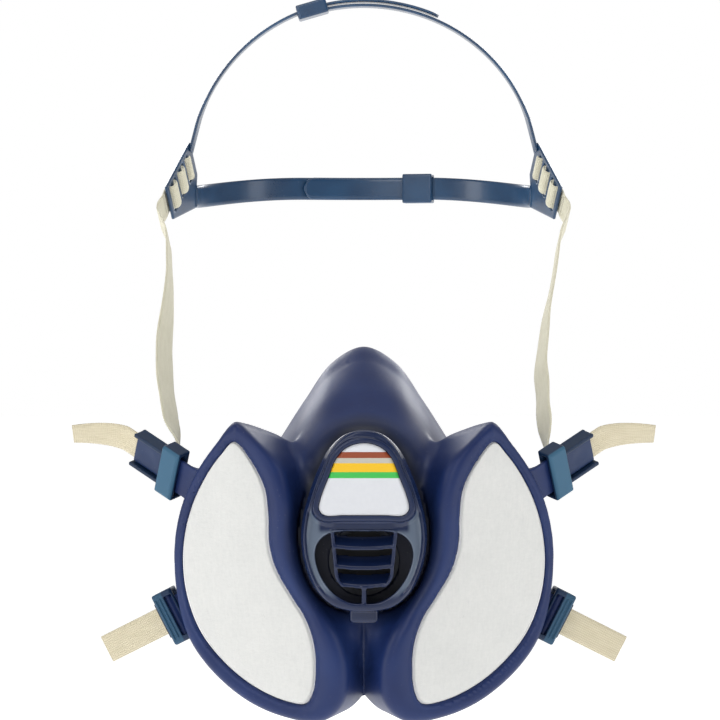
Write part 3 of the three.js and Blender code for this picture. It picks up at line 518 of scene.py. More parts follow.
def blended(table, i, j):
    """Value of a table at fractional rows and columns, from the four entries around each."""
    i = np.clip(i, 0, table.shape[0] - 1.001)
    j = np.clip(j, 0, table.shape[1] - 1.001)
    i0, j0 = i.astype(int), j.astype(int)
    fi, fj = i - i0, j - j0
    low = table[i0, j0] * (1 - fi) + table[i0 + 1, j0] * fi
    high = table[i0, j0 + 1] * (1 - fi) + table[i0 + 1, j0 + 1] * fi
    return low * (1 - fj) + high * fj


class FlatShape:
    """Signed distance in mm to a closed outline, read from a table by bilinear blending."""

    def __init__(self, outline, step=0.5, margin=30.0):
        self.step = step
        self.low = outline.min(axis=0) - margin
        size = np.ceil((outline.max(axis=0) + margin - self.low) / step).astype(int) + 1
        u = self.low[0] + np.arange(size[0]) * step
        v = self.low[1] + np.arange(size[1]) * step
        x, y = (g.ravel() for g in np.meshgrid(u, v, indexing="ij"))
        nearest = np.full(x.shape, 1e9)
        crossings = np.zeros(x.shape, dtype=bool)
        for a, b in zip(outline, np.roll(outline, -1, axis=0)):
            edge = b - a
            share = np.clip(((x - a[0]) * edge[0] + (y - a[1]) * edge[1]) / (edge @ edge), 0, 1)
            gap = (x - a[0] - share * edge[0]) ** 2 + (y - a[1] - share * edge[1]) ** 2
            nearest = np.minimum(nearest, gap)
            if a[1] != b[1]:
                spans = (a[1] > y) != (b[1] > y)
                crossings ^= spans & (x < a[0] + (y - a[1]) * edge[0] / edge[1])
        distance = np.sqrt(nearest)
        self.table = np.where(crossings, -distance, distance).reshape(size)

    def __call__(self, u, v):
        return blended(self.table, (u - self.low[0]) / self.step, (v - self.low[1]) / self.step)


# %% Joining fields


def joined(a, b, fillet=0.0):
    """Union of two fields, with a fillet: the minimum, less a square of how close the two are."""
    close = np.maximum(fillet - np.abs(a - b), 0)
    return np.minimum(a, b) - close * close / np.maximum(4 * fillet, 1e-9)


def common(a, b, round_over=0.0):
    """What two fields share, with its edges rounded over."""
    return -joined(-a, -b, round_over)


def cut(a, b, round_over=0.0):
    """The first field without the second, with its edges rounded over."""
    return common(a, -b, round_over)


# %% [markdown]
# A field becomes a mesh by the method of surface nets: every cell of a grid that the surface
# passes through gets one vertex, and neighbouring cells are joined by quads. Each vertex is then
# slid along the field's slope until it lies on the surface, and the slope is also its normal, so
# that the shading is as smooth as the field, however coarse the grid.

# %% Surface nets
SLAB = 400000  # grid points that are worked out at a time
SETTLING_STEPS = 6


def slope_of(field, points, reach):
    """Gradient of a field at points, from the difference across a small reach."""
    parts = []
    for axis in np.eye(3):
        ahead = field(*(points + axis * reach).T)
        back = field(*(points - axis * reach).T)
        parts.append((ahead - back) / (2 * reach))
    return np.stack(parts, axis=1)


def field_mesh(name, field, low, high, step):
    """Mesh of the zero surface of a field, in mm between two corners, made in metres."""
    axes = [np.arange(a, b + step, step) for a, b in zip(low, high)]
    x, y, z = np.meshgrid(*axes, indexing="ij")
    slabs = np.array_split(np.arange(len(axes[0])), max(1, x.size // SLAB))
    value = np.concatenate([field(x[s], y[s], z[s]) for s in slabs])
    inside = value < 0
    shape = np.array(inside.shape) - 1
    corners = [inside[i : i + shape[0], j : j + shape[1], k : k + shape[2]]
               for i in (0, 1) for j in (0, 1) for k in (0, 1)]
    total = sum(c.astype(np.int8) for c in corners)
    mixed = (total > 0) & (total < 8)
    number = np.full(mixed.shape, -1)
    number[mixed] = np.arange(mixed.sum())
    cells = np.argwhere(mixed)
    points = np.array([a[0] for a in axes]) + (cells + 0.5) * step
    for _ in range(SETTLING_STEPS):
        here = field(*points.T)
        slope = slope_of(field, points, 0.05)
        length = np.maximum((slope * slope).sum(axis=1), 0.05)
        move = -(here / length)[:, None] * slope
        size = np.linalg.norm(move, axis=1, keepdims=True)
        points += move * np.minimum(1, 0.45 * step / np.maximum(size, 1e-9))
    quads = []
    for axis in range(3):
        first = [slice(None)] * 3
        second = [slice(None)] * 3
        first[axis] = slice(0, -1)
        second[axis] = slice(1, None)
        a, b = inside[tuple(first)], inside[tuple(second)]
        edges = np.argwhere(a != b)
        others = [k for k in range(3) if k != axis]
        within = [(edges[:, k] > 0) & (edges[:, k] < inside.shape[k] - 1) for k in others]
        edges = edges[np.all(within, axis=0)]
        leaving = a[tuple(edges.T)]
        ring = []
        for du, dv in ((-1, -1), (0, -1), (0, 0), (-1, 0)):
            cell = edges.copy()
            cell[:, (axis + 1) % 3] += du
            cell[:, (axis + 2) % 3] += dv
            ring.append(number[tuple(cell.T)])
        quad = np.stack(ring, axis=1)
        quad[~leaving] = quad[~leaving][:, ::-1]
        quads.append(quad)
    faces = np.concatenate(quads)
    mesh = mesh_from(name, points * MM, faces)
    normals = slope_of(field, points, 0.12)
    normals /= np.maximum(np.linalg.norm(normals, axis=1, keepdims=True), 1e-9)
    if len(mesh.vertices) == len(normals):
        mesh.normals_split_custom_set_from_vertices(normals.astype(np.float32))
    print(name, len(mesh.vertices), "vertices,", len(mesh.polygons), "quads")
    return mesh


def finish_piece(name, mesh, material, body, replaces=(), slot=None):
    """Object for a mesh, with its material, the body it moves with and the nodes it stands for."""
    piece = add_object(name, mesh)
    mesh.materials.append(material)
    if body:
        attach(piece, body)
    if replaces:
        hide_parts(*replaces)
    return piece


def add_tone(mesh, values):
    """Stores a value for each vertex as the attribute tone, which places painted light and shade.
    """
    layer = mesh.attributes.new("tone", "FLOAT", "POINT")
    layer.data.foreach_set("value", np.asarray(values, dtype=np.float32))


def corners_of(mesh):
    """Number of the vertex at each corner of a mesh's faces, face after face."""
    index = np.empty(len(mesh.loops), dtype=np.int32)
    mesh.loops.foreach_get("vertex_index", index)
    return index


def vertices_of(mesh):
    """Vertices of a mesh as rows, in mm."""
    co = np.empty(len(mesh.vertices) * 3, dtype=np.float32)
    mesh.vertices.foreach_get("co", co)
    return co.reshape(-1, 3) / MM


DRAFT = 1.0
HANDS = ((1, "left"), (-1, "right"))

# %% [markdown]
# ## The facepiece
# The facepiece is one soft moulding: a nose cup that narrows from the face to the valve, and a
# pod on each side that looks outwards and a little down. The cup is given by a few outlines at
# set depths, read as a radius at each angle. Each pod is its outline pushed along the direction
# that it faces, with rounded edges, and a generous fillet runs where the pods meet the cup.

# %% Pod axes and outlines
POD_YAW = math.radians(25)
POD_PITCH = math.radians(7)
POD_ROOT = np.array([38.0, -78.0, 0.0])
POD_DEPTH = 30.0
POCKET_DEPTH = 22.0
pod_out = np.array([
    math.sin(POD_YAW) * math.cos(POD_PITCH),
    -math.cos(POD_YAW) * math.cos(POD_PITCH),
    -math.sin(POD_PITCH),
])
pod_across = np.array([math.cos(POD_YAW), math.sin(POD_YAW), 0.0])
pod_up = np.cross(pod_out, pod_across)


def on_pod(points):
    """Front-view points carried onto the plane of the pod's rim."""
    x, z = np.asarray(points, dtype=float).T
    v = (z - POD_ROOT[2]) / pod_up[2]
    u = (x - POD_ROOT[0] - v * pod_up[0]) / pod_across[0]
    return np.stack([u, v], axis=1)


def in_frame(x, y, z, origin, across, up, out):
    """Coordinates of points along three axes through an origin."""
    dx, dy, dz = x - origin[0], y - origin[1], z - origin[2]
    return tuple(dx * a[0] + dy * a[1] + dz * a[2] for a in (across, up, out))


POD_OUTLINE = [
    (55, 54), (64, 44), (73, 31), (80, 15), (82.9, -6), (78.7, -36.4), (69.6, -52.2), (52.6, -67),
    (35.5, -74), (19.6, -75.2), (11, -67), (9, -54), (12.5, -40), (21, -25), (29, -9), (32, 6),
    (33, 20), (37.5, 35), (45.5, 48),
]
PAD_OUTLINE = [
    (56, 45.2), (48.3, 36.5), (42.7, 25.1), (41.2, 13.7), (40.8, 1.2), (37.9, -9.6), (31.3, -21),
    (25, -31.2), (21.6, -41.5), (20.8, -51), (21.8, -62), (25, -67.6), (34, -67), (48.4, -60.8),
    (60.9, -51.1), (71.2, -38.6), (77, -24.5), (79.2, -9.6), (78.2, 4.6), (74.5, 18.2),
    (68.3, 30.7), (61.5, 40),
]
pad_curve = closed_curve(on_pod(PAD_OUTLINE))
pod_shape = FlatShape(closed_curve(on_pod(POD_OUTLINE)))
pad_shape = FlatShape(pad_curve)
print("pod outline points:", len(POD_OUTLINE), "pad outline points:", len(PAD_OUTLINE))

# %% Nose cup
CUP_OUTSIDE = [
    (0, [(0, 85), (12, 77), (22, 62), (36, 42), (50, 18), (56, -8), (53, -32), (40, -50),
         (20, -58), (0, -59)]),
    (10, [(0, 86.5), (14, 79.5), (26, 62.6), (38, 44), (52, 20), (59, -8), (56, -34),
          (43, -54), (22, -61), (0, -60)]),
    (25, [(0, 80), (14, 74), (25, 62), (35, 47), (50, 24), (57, -6), (54, -34), (42, -55),
          (22, -62), (0, -60)]),
    (45, [(0, 68), (13, 65), (23, 57), (31, 46), (40, 24), (44, 0), (40, -30), (30, -54),
          (16, -61), (0, -60)]),
    (60, [(0, 57), (12, 55), (21, 49), (28, 39), (33, 20), (35, 0), (31, -26), (22, -46),
          (12, -57), (0, -58.5)]),
    (72, [(0, 50.5), (10, 48), (18, 41), (24, 28), (28, 12), (29, 0), (26, -18), (18, -34),
          (9, -42), (0, -44)]),
]
LIP = [(0, 72), (9, 64), (18, 48), (30, 30), (41, 8), (43, -14), (38, -32), (24, -44),
       (10, -48), (0, -48.5)]
SEAL_WALL = 3.4
CUP_SLOPE = 0.85  # makes up for the slant of the cup's wall
CUP_MIDDLE = 4.0
CUP_INSIDE = [
    (-4, LIP),
    (4, LIP),
    (11, CUP_OUTSIDE[1][1]),
    (25, CUP_OUTSIDE[2][1]),
    (39, [(0, 71), (12, 67), (22, 58), (30, 46), (40, 25), (45, 0), (41, -30), (31, -53),
          (17, -60.5), (0, -60)]),
    (51, [(0, 62), (11, 60), (19, 52), (24, 40), (28, 22), (29, 0), (26, -26), (19, -46),
          (11, -57), (0, -58)]),
    (62, [(0, 53), (9, 50), (15, 43), (18, 30), (20, 14), (20, 0), (18, -20), (13, -37),
          (8, -46), (0, -48)]),
    (67.5, [(0, 43), (6, 41), (11, 34), (14, 22), (15, 8), (15, -2), (14, -16), (10, -28),
            (5, -35), (0, -36)]),
]


class CupTable:
    """Field of a loft: distance from its axis, less a radius that depends on angle and depth.

    The radius comes from outlines at set depths, blended between them by a smooth cubic.
    """

    def __init__(self, sections, middle, wall=0.0, plain=0, cautious=False):
        self.middle = middle
        angles = np.linspace(-math.pi, math.pi, 361)
        rows = []
        for i, (_, half) in enumerate(sections):
            outline = closed_curve(symmetric(half))
            turn = np.arctan2(outline[:, 0], outline[:, 1] - middle)
            radius = np.hypot(outline[:, 0], outline[:, 1] - middle)
            order = np.argsort(turn)
            row = np.interp(angles, turn[order], radius[order], period=2 * math.pi)
            rows.append(row - (wall if i >= plain else 0))
        depths = np.array([d for d, _ in sections], dtype=float)
        self.start = depths[0]
        fine = np.arange(depths[0], depths[-1] + 0.5, 1.0)
        self.table = smooth_rows(depths, np.array(rows), fine, cautious).T

    def __call__(self, x, depth, z):
        turn = (np.arctan2(x, z - self.middle) + math.pi) * 180 / math.pi
        radius = blended(self.table, turn, depth - self.start)
        return (np.hypot(x, z - self.middle) - radius) * CUP_SLOPE


def smooth_rows(knots, rows, places, cautious):
    """Rows blended at places between knots by cubics.

    At each knot the slope is the mean of its two neighbours'. When cautious it is the gentler of
    them, or 0 at a turning point, so that no cubic swings past the rows it joins.
    """
    rises = np.diff(rows, axis=0) / np.diff(knots)[:, None]
    gentler = np.where(np.abs(rises[1:]) < np.abs(rises[:-1]), rises[1:], rises[:-1])
    inner = np.where(rises[1:] * rises[:-1] > 0, gentler, 0)
    slopes = np.gradient(rows, knots, axis=0)
    if cautious:
        slopes = np.vstack([rises[:1], inner, rises[-1:]])
    span = np.clip(np.searchsorted(knots, places, side="right") - 1, 0, len(knots) - 2)
    width = (knots[span + 1] - knots[span])[:, None]
    t = (places[:, None] - knots[span][:, None]) / width
    t = np.clip(t, 0, 1)
    start = (2 * t**3 - 3 * t**2 + 1) * rows[span] + (t**3 - 2 * t**2 + t) * width * slopes[span]
    return start + (3 * t**2 - 2 * t**3) * rows[span + 1] + (t**3 - t**2) * width * slopes[span + 1]


cup_outside = CupTable(CUP_OUTSIDE, CUP_MIDDLE)
cup_inside = CupTable(CUP_INSIDE, CUP_MIDDLE, wall=SEAL_WALL, plain=2, cautious=True)
print("nose cup tables:", cup_outside.table.shape, cup_inside.table.shape)

# %% [markdown]
# The valve cover, the buckles' lugs and the bores of the valves are cut into the same field. The
# pods' rims are not flat: a fine lip runs round the felt, the broad inner rim is crowned, and the
# outer rim is narrow.

# %% Cover outline, buckle axes and the facepiece field
COVER_OUTLINE = symmetric([
    (0, 50.5), (8, 48.6), (14.5, 43), (19.5, 34), (23.6, 23), (26.4, 12), (27, 3), (25.2, -8),
    (20.6, -18), (13, -24.8), (5, -27), (0, -27.2),
])
cover_shape = FlatShape(closed_curve(COVER_OUTLINE), step=0.25, margin=15.0)
COVER_SEAT = 72.0


def unit(*parts):
    """Unit vector."""
    v = np.array(parts, dtype=float)
    return v / np.linalg.norm(v)


def axes_of(first, second):
    """Three unit axes: the first, the part of the second square to it, and their cross product."""
    a = unit(*first)
    out = unit(*np.cross(a, second))
    return a, np.cross(out, a), out


UPPER_AT = np.array([84.4, -50.0, 32.0])
upper_axes = axes_of((0.738, 0.49, 0.461), (-0.181, -0.49, 0.851))
LOWER_AT = np.array([83.4, -45.0, -31.8])
lower_axes = axes_of((0.85, 0.29, -0.44), (0.4, 0, 0.92))
LUG_AT = -1.2
POCKET_WALL = 1.8  # what is left between the inside of the cup and a pocket
PORT = on_pod([(52, -8)])[0]
PORT_RADIUS = 10.6
EXHALE_Z = -6.0
EXHALE_RADIUS = 15.1  # the valve seat presses a little into the rubber


def box_field(u, v, w, low, high, round_over=0.5):
    """Distance to a box between two corners, with rounded edges."""
    middle = [(a + b) / 2 for a, b in zip(low, high)]
    half = [(b - a) / 2 - round_over for a, b in zip(low, high)]
    gaps = [np.abs(p - m) - h for p, m, h in zip((u, v, w), middle, half)]
    outside = np.sqrt(sum(np.maximum(g, 0) ** 2 for g in gaps))
    return outside + np.minimum(np.maximum.reduce(gaps), 0) - round_over


def lug_field(u, v, w):
    """Web and pin that a buckle swings on, in the buckle's axes; the web flares into the pod."""
    flare = 0.9 * np.clip((-u - 9) / 7, 0, 1) ** 2
    web = common(np.abs(w) - 0.8 - flare, np.abs(v) - 8.2 - flare * 2, 0.5)
    web = common(web, np.abs(u - LUG_AT + 8.5) - 8.5, 0.3)
    pin = common(np.hypot(u - LUG_AT, w) - 2.0, np.abs(v) - 10.0, 0.6)
    return joined(web, pin, 0.8)


def shoulder_plane():
    """Plane of the flat shoulder behind a pod's top corner, through two points of the rim and one
    point of the back."""
    a, b = (np.append(p, 0.0) for p in on_pod([(54, 53.4), (42, 41.4)]))
    back, back_x, back_z = -26.0, 36.0, 46.8
    v = (back_z - back * pod_out[2]) / pod_up[2]
    u = (back_x - POD_ROOT[0] - v * pod_up[0] - back * pod_out[0]) / pod_across[0]
    normal = unit(*np.cross(b - a, np.array([u, v, back]) - a))
    middle = np.append(on_pod([(58, 0)])[0], -10.0)
    return a, normal * (-1 if (middle - a) @ normal > 0 else 1)


SHOULDER_AT, SHOULDER_OUT = shoulder_plane()


def pod_field(u, v, w, x, z):
    """Solid pod: its outline, a crowned rim in front, a rounded back and a flat shoulder.

    The rim's edges are rounded more where the rim is broad.
    """
    outline = pod_shape(u, v) - 0.7
    rim = pad_shape(u, v)
    breadth = np.maximum(rim - outline, 0.5)
    broad = np.clip((breadth - 5) / 4, 0, 1)
    crown = 1.4 * np.sin(np.pi * np.clip(rim / breadth, 0, 1)) * broad
    lip = 0.6 * np.exp(-(((rim - 0.9) / 0.8) ** 2))
    pod = common(outline, w - crown - lip, 2.6 + 2.6 * broad)
    pod = common(pod, -(w + POD_DEPTH), 7.0)
    shoulder = sum((p - a) * n for p, a, n in zip((u, v, w), SHOULDER_AT, SHOULDER_OUT))
    pod = common(pod, shoulder, 2.2)
    return common(pod, 0.939 * (z - 53.9) - 0.344 * (x - 54), 1.6)


def facepiece_field(x, y, z):
    """Cup and pods joined by fillets, less the pockets, the inside, the bores and the well."""
    side = np.abs(x)
    depth = -y
    cup = common(cup_outside(x, depth, z), depth - COVER_SEAT, 7.0)
    u, v, w = in_frame(side, y, z, POD_ROOT, pod_across, pod_up, pod_out)
    body = joined(cup, pod_field(u, v, w, side, z), 7.0)
    pocket = common(pad_shape(u, v), -(w + POCKET_DEPTH))
    body = cut(body, pocket, 0.6)
    port = np.hypot(u - PORT[0], v - PORT[1]) - PORT_RADIUS
    port = common(port, np.abs(w + POCKET_DEPTH + 11) - 13)
    body = cut(body, port, 0.6)
    inside = common(cup_inside(x, depth, z), depth - 67.5, 3.0)
    inside = common(inside, POCKET_WALL - pocket, 2.0)
    body = cut(body, inside, 2.0)
    body = common(body, -depth, 1.6)
    well = common(cover_shape(x, z) - 1.6, COVER_SEAT - depth)
    tab_well = box_field(x, z, depth, (-6.6, -33, COVER_SEAT + 5.6), (6.6, -20, 120), 0.3)
    body = cut(body, joined(well, tab_well), 1.2)
    bore = common(np.hypot(x, z - EXHALE_Z) - EXHALE_RADIUS, np.abs(depth - COVER_SEAT) - 8)
    seam = np.hypot(side, (depth - 73) * 0.6) - 0.9
    below = common(z + 33, -62 - z)
    body = cut(body, common(seam, below), 0.8)
    return cut(body, bore, 0.4)


FACE_STEP = 1.25 * DRAFT
facepiece_mesh = field_mesh(
    "facepiece_skin", facepiece_field, (-94, -86, -80), (94, 3, 90), FACE_STEP,
)
face_x, face_y, face_z = vertices_of(facepiece_mesh).T
# Painted shade: the tone darkens the facepiece in the trench round the valve cover and in the chin
# seam's valley, where shade falls.
painted_shade_by_cover = np.clip(1 - (cover_shape(face_x, face_z) - 1) / 7, 0, 1)
painted_shade_by_cover = painted_shade_by_cover * np.clip((-face_y - 52) / 8, 0, 1)
painted_shade_by_seam = np.clip(1 - np.abs(face_x) / 5, 0, 1) * np.clip((-33 - face_z) / 3, 0, 1)
in_front = np.clip((-face_y - 40) / 8, 0, 1)
add_tone(facepiece_mesh, 0.8 * painted_shade_by_cover + 0.4 * painted_shade_by_seam * in_front * (1 - painted_shade_by_cover))
finish_piece("facepiece_skin", facepiece_mesh, soft_navy, "mask", ["facepiece"], "soft_navy")

# %% [markdown]
# ## Filter faces
# Each filter face is a felt pad, pressed thin along its edge, where a painted highlight makes it
# bright, and slightly crowned in the middle. It is a grid of rings: every ring is the pad's outline
# drawn in towards the middle, and its height over the rim's plane is a function of how far it has
# come in.

# %% Filter faces


def pod_point(u, v, w):
    """Points in mm from coordinates on the pod."""
    return POD_ROOT + u[..., None] * pod_across + v[..., None] * pod_up + w[..., None] * pod_out


def pad_mesh(name, side):
    """Felt pad: height rises from a pressed edge to a crown as the root of the way in."""
    middle_line = np.array([[35.0, -52.0], [42.0, -30.0], [60.0, 0.0], [57.0, 36.0]])
    share = np.concatenate([[0.0, 0.0, 0.004, 0.012, 0.022, 0.035], np.linspace(0.06, 1.0, 30)])
    crown = 0.55 + 1.25 * np.sin(np.linspace(0.15, 1, 30) * np.pi / 2)
    height = np.concatenate([[-3.6, -0.7, -0.35, -0.30, -0.05, 0.35], crown])
    spine = on_pod(middle_line)
    t = np.clip((pad_curve[:, 1] - spine[0, 1]) / (spine[-1, 1] - spine[0, 1]), 0, 1)
    order = np.argsort(spine[:, 1])
    inner_v = spine[0, 1] + t * (spine[-1, 1] - spine[0, 1])
    inner_u = np.interp(inner_v, spine[order, 1], spine[order, 0])
    inner = np.stack([inner_u, inner_v], axis=1)
    start = pad_curve + (inner - pad_curve) * 0.008
    rings = start[None] + (inner - start)[None] * share[:, None, None]
    w = np.broadcast_to(height[:, None], rings.shape[:2])
    points = pod_point(rings[..., 0], rings[..., 1], w)
    points[..., 0] *= side
    if side > 0:
        points = points[:, ::-1]
    mesh = grid_mesh(name, points * MM, close_v=True)
    # Painted highlight: the tone whitens the felt along the pressed edge.
    edge = np.clip((0.03 - share) / 0.012, 0, 1)
    add_tone(mesh, np.broadcast_to(edge[:, None], points.shape[:2]).ravel())
    return mesh


for side, hand in HANDS:
    pad = finish_piece(f"felt_face_{hand}", pad_mesh(f"felt_face_{hand}", side), felt, "mask",
                       [f"filter_pad_{hand}"], "felt")
    print(pad.name, len(pad.data.vertices), "vertices")

# %% [markdown]
# ## Valve cover
# The cover is a polished shell: a sloping face on each side of a raised window, a ledge under the
# window, and a wide opening with a basket of louvres in front of the valve.

# %% Valve cover
OPENING = symmetric([
    (0, 7.2), (9, 7.2), (15.5, 6), (19.6, 2.4), (21, -3), (18.8, -11.5), (13.4, -19),
    (6.4, -23.2), (0, -23.8),
])
WINDOW = symmetric([
    (0, 45.2), (7, 43.4), (11.6, 39), (15.4, 30), (18.8, 21), (19.4, 16.4), (17, 14), (9, 14),
    (0, 14),
])
opening_shape = FlatShape(closed_curve(OPENING), step=0.25, margin=15.0)
window_shape = FlatShape(closed_curve(WINDOW), step=0.25, margin=15.0)
COVER_DEPTH = 15.7
BEZEL_RAISE = 1.2
LOUVRES = (0.7, -7.8, -15.6)


def basket_half(z):
    """Half-width of the grille's basket, which narrows downwards and rounds in at its foot."""
    return 14.3 + (z - 6) * 0.095 - 3.0 * np.clip((-11.0 - z) / 6, 0, 1) ** 2


def painted_reflection_panel(x, z):
    """1 on the sloping panel beside the opening and the window, fading to 0 at its edges, where a
    painted reflection lightens the cover.
    """
    outline = cover_shape(x, z)
    window = window_shape(x, z)
    opening = opening_shape(x, z)
    inner = np.minimum(window - 3.0, opening + 0.1)
    low = np.clip((z + 22) / 5, 0, 1) * np.clip((40 - z) / 12, 0, 1)
    shelf = np.clip((z - 6) / 2, 0, 1) * np.clip((17 - z) / 3, 0, 1)
    shelf = shelf * np.clip((20 - np.abs(x)) / 1.5, 0, 1)
    width = np.clip((-outline - 2.3) / 0.5, 0, 1) * np.clip(inner / 0.5, 0, 1)
    return width * low * (1 - shelf)


def cover_field(x, y, z):
    """Shell with sloping sides and an opening, joined with the bezel, louvres, post and tab."""
    depth = -y - COVER_SEAT
    outline = cover_shape(x, z)
    window = window_shape(x, z)
    opening = opening_shape(x, z)
    # The face falls away towards its sides, and a narrow rim runs round it.
    beside = np.clip((np.abs(x) - 9 - 0.16 * (20 - z)) / 12, 0, 1)
    drop = 3.4 * beside * np.clip((window - 1.5) / 3, 0, 1)
    rim = 1.5 * np.exp(-(((outline + 1.5) / 0.8) ** 2)) * np.clip(drop / 2, 0, 1)
    shell = common(outline, depth - (COVER_DEPTH - drop + rim), 1.6)
    hollow = common(outline + 2.2, depth - (COVER_DEPTH - 6.0))
    shell = cut(shell, hollow)
    bezel = common(window - 2.4, depth - COVER_DEPTH - BEZEL_RAISE, 1.0)
    bezel = common(bezel, COVER_DEPTH - 5.5 - depth)
    shell = joined(shell, bezel, 0.8)
    shell = cut(shell, common(window, COVER_DEPTH + BEZEL_RAISE - 0.9 - depth), 0.3)
    groove = common(np.abs(z - 9.2) - 1.2, np.abs(x) - 17.2, 0.6)
    shell = cut(shell, common(groove, COVER_DEPTH - 0.8 - depth), 0.5)
    shell = cut(shell, common(opening, COVER_DEPTH - 9 - depth), 0.9)
    half = basket_half(z)
    front = depth - (COVER_DEPTH - 0.4)
    back = COVER_DEPTH - 6.5 - depth
    rail = common(np.abs(np.abs(x) - half + 0.8) - 0.8, np.abs(z + 4.8) - 11.8, 0.5)
    grille = common(common(rail, front, 0.6), back)
    for level in LOUVRES:
        bow = level - 1.1 * (1 - (x / half) ** 2)
        blade = (z - bow - 0.75 * (COVER_DEPTH - 0.4 - depth)) * 0.8
        blade = common(np.abs(blade) - 0.62, np.abs(x) - half + 0.4)
        grille = joined(grille, common(common(blade, front, 0.5), back), 0.5)
    post = common(np.abs(x) - 1.0, np.abs(z + 21) - 4.6, 0.3)
    grille = joined(grille, common(common(post, front, 0.5), back), 0.5)
    tab = box_field(x, z, depth, (-6.2, -32.5, 6), (6.2, -26, 10), 1.6)
    return common(joined(joined(shell, grille, 0.4), tab, 0.8), 0.35 - depth)


cover_mesh = field_mesh(
    "valve_cover_shell", cover_field, (-29, -91, -35), (29, -71, 53), 0.5 * DRAFT,
)
# Painted reflection: the tone lightens the sloping side panels with the light that the polished
# cover would mirror.
cover_x, cover_y, cover_z = vertices_of(cover_mesh).T
on_face = np.clip((-cover_y - COVER_SEAT - COVER_DEPTH + 5.0) / 1.0, 0, 1)
add_tone(cover_mesh, painted_reflection_panel(cover_x, cover_z) * on_face)
finish_piece("valve_cover_shell", cover_mesh, gloss_navy, "mask", ["valve_cover"], "gloss_navy")

# %% Label


def label_mesh(name):
    """Thin plate in the window: rings drawn in from its outline, front and edge."""
    outline = closed_curve(WINDOW) * 0.985 + np.array([0, 0.42])
    middle = np.array([0.0, 28.0])
    share = np.concatenate([[0, 0], np.linspace(0, 1, 12)])
    depth = np.concatenate([[0, 0.3], np.full(12, 0.35)])
    depth = depth + COVER_SEAT + COVER_DEPTH + BEZEL_RAISE - 0.75
    rings = outline[None] + (middle - outline)[None] * share[:, None, None]
    x, z = rings[..., 0], rings[..., 1]
    points = np.stack([x, np.broadcast_to(-depth[:, None], x.shape), z], axis=-1)
    return grid_mesh(name, points[:, ::-1] * MM, close_v=True)


finish_piece("label_film", label_mesh("label_film"), label, "mask", ["label_plate"], "label")

# %% [markdown]
# ## Buckles
# An upper buckle is a rounded block that clips over a lug's pin, with a channel that carries the
# elastic under a grip plate. A lower buckle is the block alone, with the elastic in a tunnel
# behind it. Both are boxes with rounded edges in the buckle's own axes, joined by small fillets.

# %% Buckle fields
STRAP_WIDTH = 12.2
BLOCK = (8.6, 24.0, 8.0)  # along the strap, across it, and thick
CHANNEL = 17.5
UPPER_FLOOR = -BLOCK[2] / 2 + 1.6
LOWER_LIP = 2.6  # how far the lower buckle's lip stands out over the elastic
GAP = 0.35  # between the elastic and what it runs in
RAIL = 1.8  # breadth of a wall beside the elastic


def block_field(u, v, w):
    """Block with bevelled front edges and a closed slot for the lug's pin."""
    half = [s / 2 for s in BLOCK]
    block = box_field(u, v, w, (-half[0] - 1, -half[1], -half[2]), half, 0.6)
    bevel = 0.707 * (w - half[2] + np.abs(v) - half[1] + 1.1)
    bevel = np.maximum(bevel, 0.707 * (w - half[2] - u - half[0] - 1 + 1.1))
    block = common(block, bevel, 0.4)
    slot = joined(np.hypot(u - LUG_AT, w) - 2.35, common(np.abs(w) - 1.7, u - LUG_AT))
    return cut(block, common(slot, np.abs(v) - 10.4), 0.3)


def upper_field(u, v, w):
    """Block, channel floor and the two walls beside the elastic."""
    inner = STRAP_WIDTH / 2 + GAP
    outer = inner + RAIL
    end = BLOCK[0] / 2 + CHANNEL
    low = -BLOCK[2] / 2
    floor = box_field(u, v, w, (3.3, -outer, low), (end, outer, low + 1.6), 0.4)
    walls = box_field(u, np.abs(v), w, (3.3, inner, low), (end, outer, -low - 1), 0.6)
    return joined(joined(block_field(u, v, w), floor, 0.4), walls, 0.5)


def lower_field(u, v, w):
    """Block with two ridges on its front, a tunnel behind it and a lip over the elastic."""
    half = BLOCK[0] / 2
    inner = STRAP_WIDTH / 2 + GAP
    outer = inner + RAIL
    rear = -BLOCK[2] / 2
    bar = box_field(u, v, w, (-half, -outer, rear - 3.3), (half, outer, rear - 1.7), 0.4)
    ends = box_field(u, np.abs(v), w, (-half, inner, rear - 2.2), (half, outer, rear + 0.5), 0.4)
    ridges = box_field(np.abs(u - 2.2), v, w, (0.5, -9.5, 3.4), (1.5, 9.5, 4.6), 0.35)
    recess = box_field(u, v, w, (-4.4, -9.4, 1.4), (-0.9, 9.4, 6), 0.4)
    lip = box_field(u, v, w, (half - 1, -outer, rear), (half + LOWER_LIP, outer, rear + 2.4), 0.5)
    body = joined(joined(joined(block_field(u, v, w), bar, 0.4), ends, 0.4), lip, 0.3)
    return joined(cut(body, recess, 0.4), ridges, 0.3)


def lever_field(u, v, w):
    """Grip plate: a thin slab with a raised finger edge and a shallow dish."""
    start = BLOCK[0] / 2 + 1.6
    end = BLOCK[0] / 2 + CHANNEL - 0.6
    low = UPPER_FLOOR + GAP + 1.0 + GAP
    plate = box_field(u, v, w, (start, -6.1, low), (end, 6.1, low + 1.6), 0.5)
    dish = np.sqrt((u - (start + end) / 2) ** 2 + v * v + (w - low - 13.2) ** 2) - 12
    return cut(plate, dish, 0.6)


def local_piece(name, field, low, high, step, origin, axes, side, tone=None):
    """Mesh of a field given in a frame's own axes, set in place and reflected for the other side.

    tone gives the attribute of the same name from the local axes.
    """
    mesh = field_mesh(name, field, low, high, step)
    local = vertices_of(mesh)
    placed = origin + local @ np.array(axes)
    placed[:, 0] *= side
    faces = corners_of(mesh).reshape(-1, 4)
    made = mesh_from(name, placed * MM, faces if side > 0 else faces[:, ::-1])
    if tone:
        add_tone(made, tone(*local.T))
    return made


